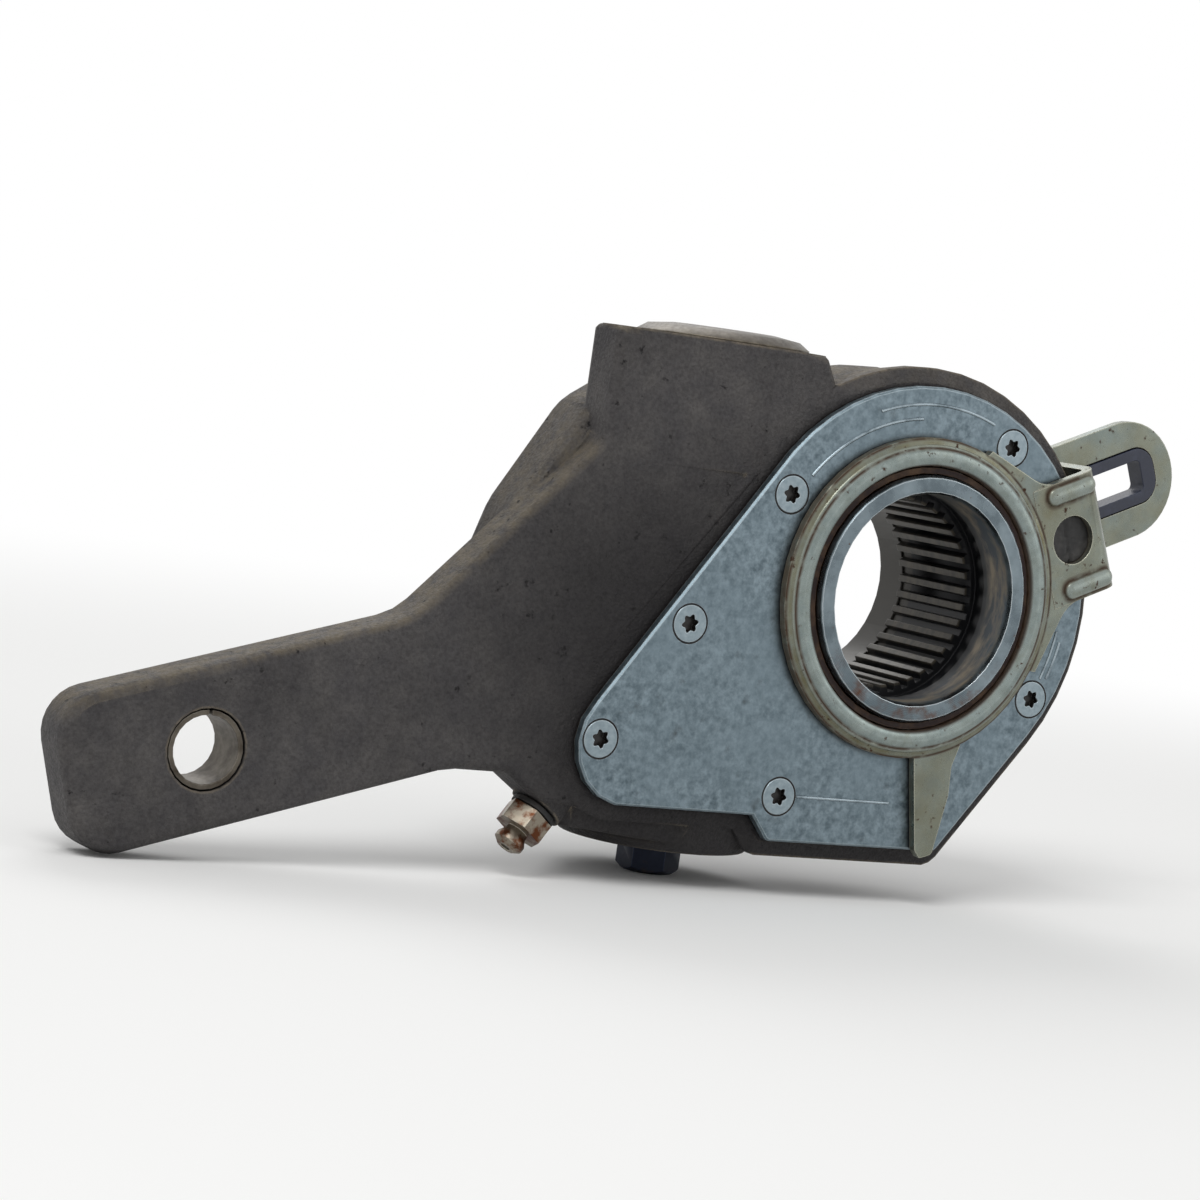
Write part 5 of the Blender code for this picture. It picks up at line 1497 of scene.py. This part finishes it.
@dataclass
class Cover:
    """The cover plate, its gasket and the plain lines coined on its face."""

    shop: Workshop
    line_radius: float = 0.00034
    line_sunk: float = 0.00010
    arcs: tuple[Arc, ...] = (
        Arc(0.0357, 97, 143),
        Arc(0.0386, 70, 112),
        Arc(0.0368, -22, -6),
        Arc(0.0382, -21, -9),
    )
    foot_line: tuple[Point, Point] = ((-0.0213, -0.0417), (0.0010, -0.0417))
    line_facets: int = 10

    def build(self) -> None:
        """Build the cover's pieces."""
        self.shop.smooth("cover_plate", "zinc_cover")
        self.shop.coat(["cover_gasket"])
        CoverScrews(self.shop).build()
        self.marks()

    def marks(self) -> None:
        """Lay thin lines along the arcs with Geometry Nodes."""
        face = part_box("cover_plate")[0][1] + self.line_sunk
        points: list[Place] = []
        edges: list[tuple[int, int]] = []
        for arc in self.arcs:
            count = round(arc.end - arc.start)
            begun = len(points)
            for k in range(count + 1):
                angle = math.radians(arc.start + (arc.end - arc.start) * k / count)
                points.append((arc.radius * math.cos(angle), face, arc.radius * math.sin(angle)))
            edges += [(begun + k, begun + k + 1) for k in range(count)]
        begun = len(points)
        points += [(x, face, z) for x, z in self.foot_line]
        edges.append((begun, begun + 1))
        lines = drawn_piece("coined_lines", points, edges)
        # The raised lines are painted pale, as a painted highlight.
        finish = LINE_HIGHLIGHT_FINISH.material()
        run_nodes(lines, self.line_tree(), {"Line radius": self.line_radius, "Finish": finish})
        lines.data.shade_smooth()
        self.shop.settle(lines, "body", "zinc_plate", finish)

    def line_tree(self) -> Tree:
        """Build the tree that makes a thin round line of each edge path.

        Returns:
            The tree.
        """
        tree, given = new_tree("line_coining", {
            "Paths": "Geometry", "Line radius": "Float", "Finish": "Material",
        })
        path = add_node(tree, "GeometryNodeMeshToCurve", {"Mesh": given["Paths"]})
        circle = {"Resolution": self.line_facets, "Radius": given["Line radius"]}
        section = add_node(tree, "GeometryNodeCurvePrimitiveCircle", circle)
        line = add_node(tree, "GeometryNodeCurveToMesh", {
            "Curve": path.outputs[0], "Profile Curve": section.outputs[0], "Fill Caps": True,
        })
        close_tree(tree, line.outputs[0], given["Finish"])
        return tree


@dataclass
class ControlArm:
    """The swinging arm with its ring, its slotted end and the disc behind the cover."""

    shop: Workshop
    direction: float = ARM_ANGLE
    face: float = -0.0213
    bead: tuple[Point, ...] = (
        (0.02668, 0.00000),
        (0.02676, 0.00062),
        (0.02700, 0.00088),
        (0.02760, 0.00101),
        (0.02850, 0.00108),
        (0.02930, 0.00104),
        (0.02975, 0.00090),
        (0.03000, 0.00064),
        (0.03016, 0.00052),
        (0.03040, 0.00060),
        (0.03068, 0.00056),
        (0.03090, 0.00034),
        (0.03100, 0.00000),
    )
    bead_facets: int = 160
    rib_start: float = 0.0361
    rib_end: float = 0.0446
    rib_across: float = 0.0100
    rib_half: float = 0.0019
    rib_rise: float = 0.00112
    rib_foot: float = 0.0005
    rib_levels: int = 7
    rib_closes: float = 6.4  # the level at which the dome would come to a ridge
    rib_facets: int = 12
    hole_away: float = 0.0387
    crust_radius: float = 0.00485
    crust_face: float = -0.0199
    crust_back: float = -0.0194
    crust_spokes: int = 40
    crust_steps: int = 9
    crust_sharp: float = 60.0
    lump_spread: float = 900.0
    lump_seed: float = 0.3
    lump_height: float = 0.00032
    crack_depth: float = 0.00035
    crack_at: float = -0.0007
    crack_half: float = 0.00025
    lining_edge_mm: float = 0.15

    def build(self) -> None:
        """Build the arm's pieces."""
        self.shop.smooth("control_arm", "stamped_arm")
        self.shop.smooth("slot_insert", "slot_lining", self.lining_edge_mm)
        self.shop.smooth("control_disc", "notched_disc")
        section = [(radius, self.face - rise) for radius, rise in self.bead]
        bead = lathe("ring_bead", section, Turning.HUB, Vector(), self.bead_facets)
        self.shop.settle(bead, "arm", "zinc_yellow")
        self.ribs()
        self.crust()

    def place(self, radial: float, across: float, along: float) -> Vector:
        """A point given along the arm's direction, across it and along the hub's axis."""
        cos, sin = math.cos(self.direction), math.sin(self.direction)
        return Vector((radial * cos - across * sin, along, radial * sin + across * cos))

    def ribs(self) -> None:
        """The two pressed ribs beside the arm's hole, as domes over long rounded feet."""
        shape = bmesh.new()
        for side in (-1, 1):
            across = side * self.rib_across
            rings = [self.rib_ring(across, self.rib_half, self.face + self.rib_foot)]
            for level in range(self.rib_levels):
                climb = math.pi / 2 * level / self.rib_closes
                half, rise = self.rib_half * math.cos(climb), self.rib_rise * math.sin(climb)
                rings.append(self.rib_ring(across, half, self.face - rise))
            stack(shape, rings)
        ribs = from_shape("pressed_ribs", shape)
        self.shop.settle(ribs, "arm", "zinc_yellow")

    def rib_ring(self, across: float, half: float, along: float) -> list[Vector]:
        """One level of a rib: two straight sides joined by half circles.

        Args:
            across: how far beside the arm's middle line the rib lies.
            half: half of its width at this level.
            along: the level's place along the hub's axis.

        Returns:
            The level's points.
        """
        points = []
        for end, first in ((self.rib_end, -90), (self.rib_start, 90)):
            for k in range(self.rib_facets + 1):
                angle = math.radians(first + 180 * k / self.rib_facets)
                out, aside = half * math.cos(angle), half * math.sin(angle)
                points.append(self.place(end + out, across + aside, along))
        return points

    def crust(self) -> None:
        """Caked grease that fills the arm's hole, with an uneven face."""
        rings = [self.crust_ring(1.0, at_back=True)]
        for step in range(self.crust_steps, 0, -1):
            rings.append(self.crust_ring(step / self.crust_steps))
        shape = bmesh.new()
        stack(shape, rings)
        crust = from_shape("hole_crust", shape, self.crust_sharp)
        self.shop.settle(crust, "arm", "rubber", CRUST_FINISH.material())

    def crust_ring(self, share: float, at_back: bool = False) -> list[Vector]:
        """One ring of the crust.

        Args:
            share: its radius, as a share of the crust's.
            at_back: whether it is the flat back's and not the uneven face's.

        Returns:
            The ring's points.
        """
        points = []
        for k in range(self.crust_spokes):
            angle = math.tau * k / self.crust_spokes
            radius = self.crust_radius * share
            across, up = radius * math.cos(angle), radius * math.sin(angle)
            along = self.crust_back if at_back else self.crust_face + self.sag(across, up)
            points.append(self.place(self.hole_away + across, up, along))
        return points

    def sag(self, across: float, up: float) -> float:
        """How far the crust's face lies behind its plane, with its lumps and its one crack.

        Args:
            across: the place beside the hole's middle, along the arm.
            up: the place beside it, across the arm.

        Returns:
            The depth.
        """
        spot = Vector((across, up, self.lump_seed)) * self.lump_spread
        crack = math.exp(-((across - self.crack_at) / self.crack_half) ** 2)
        return noise.noise(spot) * self.lump_height + crack * self.crack_depth


@dataclass
class Hub:
    """The splined worm wheel and its seals."""

    shop: Workshop

    def build(self) -> None:
        """Build the hub's pieces."""
        self.shop.smooth("worm_wheel", "splined_hub")
        self.shop.smooth("hub_seal_front", "front_lip_seal", material=SEAL_FINISH.material())
        self.shop.smooth("hub_seal_rear", "rear_o_ring", angle=ROUND_DEGREES)


@dataclass
class WormDrive:
    """The worm with its bearing, spring, cap and clutch."""

    shop: Workshop
    cap_sharp: float = 45.0
    needle_count: int = 24
    needle_facets: int = 14
    needle_sharp: float = 40.0
    needle_radius: float = 0.0010
    needle_length: float = 0.0038
    cage_thickness: float = 0.0013
    cage_mean: float = 0.00925
    cage_half: float = 0.0026
    cage_facets: int = 64
    edge_mm: float = 0.15

    def build(self) -> None:
        """Build the worm's pieces."""
        cap = CAP_FINISH.material()
        self.shop.smooth("end_cap", "domed_cap", material=cap, angle=self.cap_sharp)
        self.shop.smooth("worm_shaft", "worm_and_hexagon")
        self.shop.smooth("worm_spring", "load_spring", angle=ROUND_DEGREES)
        self.shop.smooth("spring_seat", "spring_cup", self.edge_mm)
        self.shop.smooth("clutch_wheel", "clutch_cone", self.edge_mm)
        self.shop.smooth("clutch_spring", "wrap_spring", angle=ROUND_DEGREES)
        self.shop.smooth("control_pinion", "slanted_pinion")
        self.shop.smooth("control_rack", "slanted_rack")
        self.shop.smooth("cap_o_ring", "cap_seal", angle=ROUND_DEGREES)
        self.shop.coat(["thrust_race_upper", "thrust_race_lower", "worm_bush", "worm_seal"])
        self.needles()

    def needles(self) -> None:
        """The thrust bearing's thin cage, and its needles set round it by Geometry Nodes."""
        low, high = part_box("thrust_cage")
        centre = (low + high) / 2
        half = self.cage_thickness / 2
        inner, outer = self.cage_mean - self.cage_half, self.cage_mean + self.cage_half
        section = [(inner, -half), (outer, -half), (outer, half), (inner, half)]
        cage = lathe("needle_cage", section, Turning.WORM, centre, self.cage_facets)
        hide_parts("thrust_cage")
        self.shop.settle(cage, "body", "bronze")
        steel = self.shop.materials["bright_steel"]
        needles = new_piece("thrust_needles", bpy.data.meshes.new("thrust_needles"))
        run_nodes(needles, self.needle_tree(), {
            "Count": self.needle_count,
            "Needle radius": self.needle_radius,
            "Needle length": self.needle_length,
            "Circle radius": self.cage_mean,
            "Centre": tuple(centre),
            "Finish": steel,
        })
        needles.data.shade_smooth()
        needles.data.set_sharp_from_angle(angle=math.radians(self.needle_sharp))
        self.shop.settle(needles, "body", "bright_steel", steel)

    def needle_tree(self) -> Tree:
        """Build the tree that sets needles round a circle.

        Returns:
            The tree.
        """
        tree, given = new_tree("needle_setting", {
            "Count": "Int", "Needle radius": "Float", "Needle length": "Float",
            "Circle radius": "Float", "Centre": "Vector", "Finish": "Material",
        })
        circle = {"Vertices": given["Count"], "Radius": given["Circle radius"]}
        ring = add_node(tree, "GeometryNodeMeshCircle", circle)
        spot = {"Vector": add_node(tree, "GeometryNodeInputPosition").outputs[0]}
        outward = add_node(tree, "FunctionNodeAlignRotationToVector", spot, axis="Z")
        needle = add_node(tree, "GeometryNodeMeshCylinder", {
            "Vertices": self.needle_facets, "Radius": given["Needle radius"],
            "Depth": given["Needle length"],
        })
        spread = add_node(tree, "GeometryNodeInstanceOnPoints", {
            "Points": ring.outputs["Mesh"], "Instance": needle.outputs["Mesh"],
            "Rotation": outward.outputs[0],
        })
        shift = {"Geometry": spread.outputs[0], "Translation": given["Centre"]}
        moved = add_node(tree, "GeometryNodeTransform", shift)
        close_tree(tree, moved.outputs[0], given["Finish"])
        return tree


@dataclass
class GreasePoint:
    """The grease fitting on the casting's lower corner."""

    shop: Workshop
    ball_sharp: float = 80.0

    def build(self) -> None:
        """Build the fitting's pieces."""
        self.shop.smooth("grease_fitting", "greasing_nipple", material=FITTING_FINISH.material())
        self.shop.smooth("grease_ball", "nipple_ball", angle=self.ball_sharp)
        self.shop.coat(["fitting_washer"])


def main() -> None:
    """Build the camera, the studio and every sub-assembly in order."""
    logging.basicConfig(level=logging.INFO, format="%(message)s")
    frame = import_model()
    cad_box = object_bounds()
    PhotoCamera().build()
    Studio().build(cad_box[0][2])
    shop = Workshop(frame)
    for assembly in (Casting, Cover, ControlArm, Hub, WormDrive, GreasePoint):
        assembly(shop).build()
        log.info("finished %s", assembly.__name__)


if __name__ == "__main__":
    main()
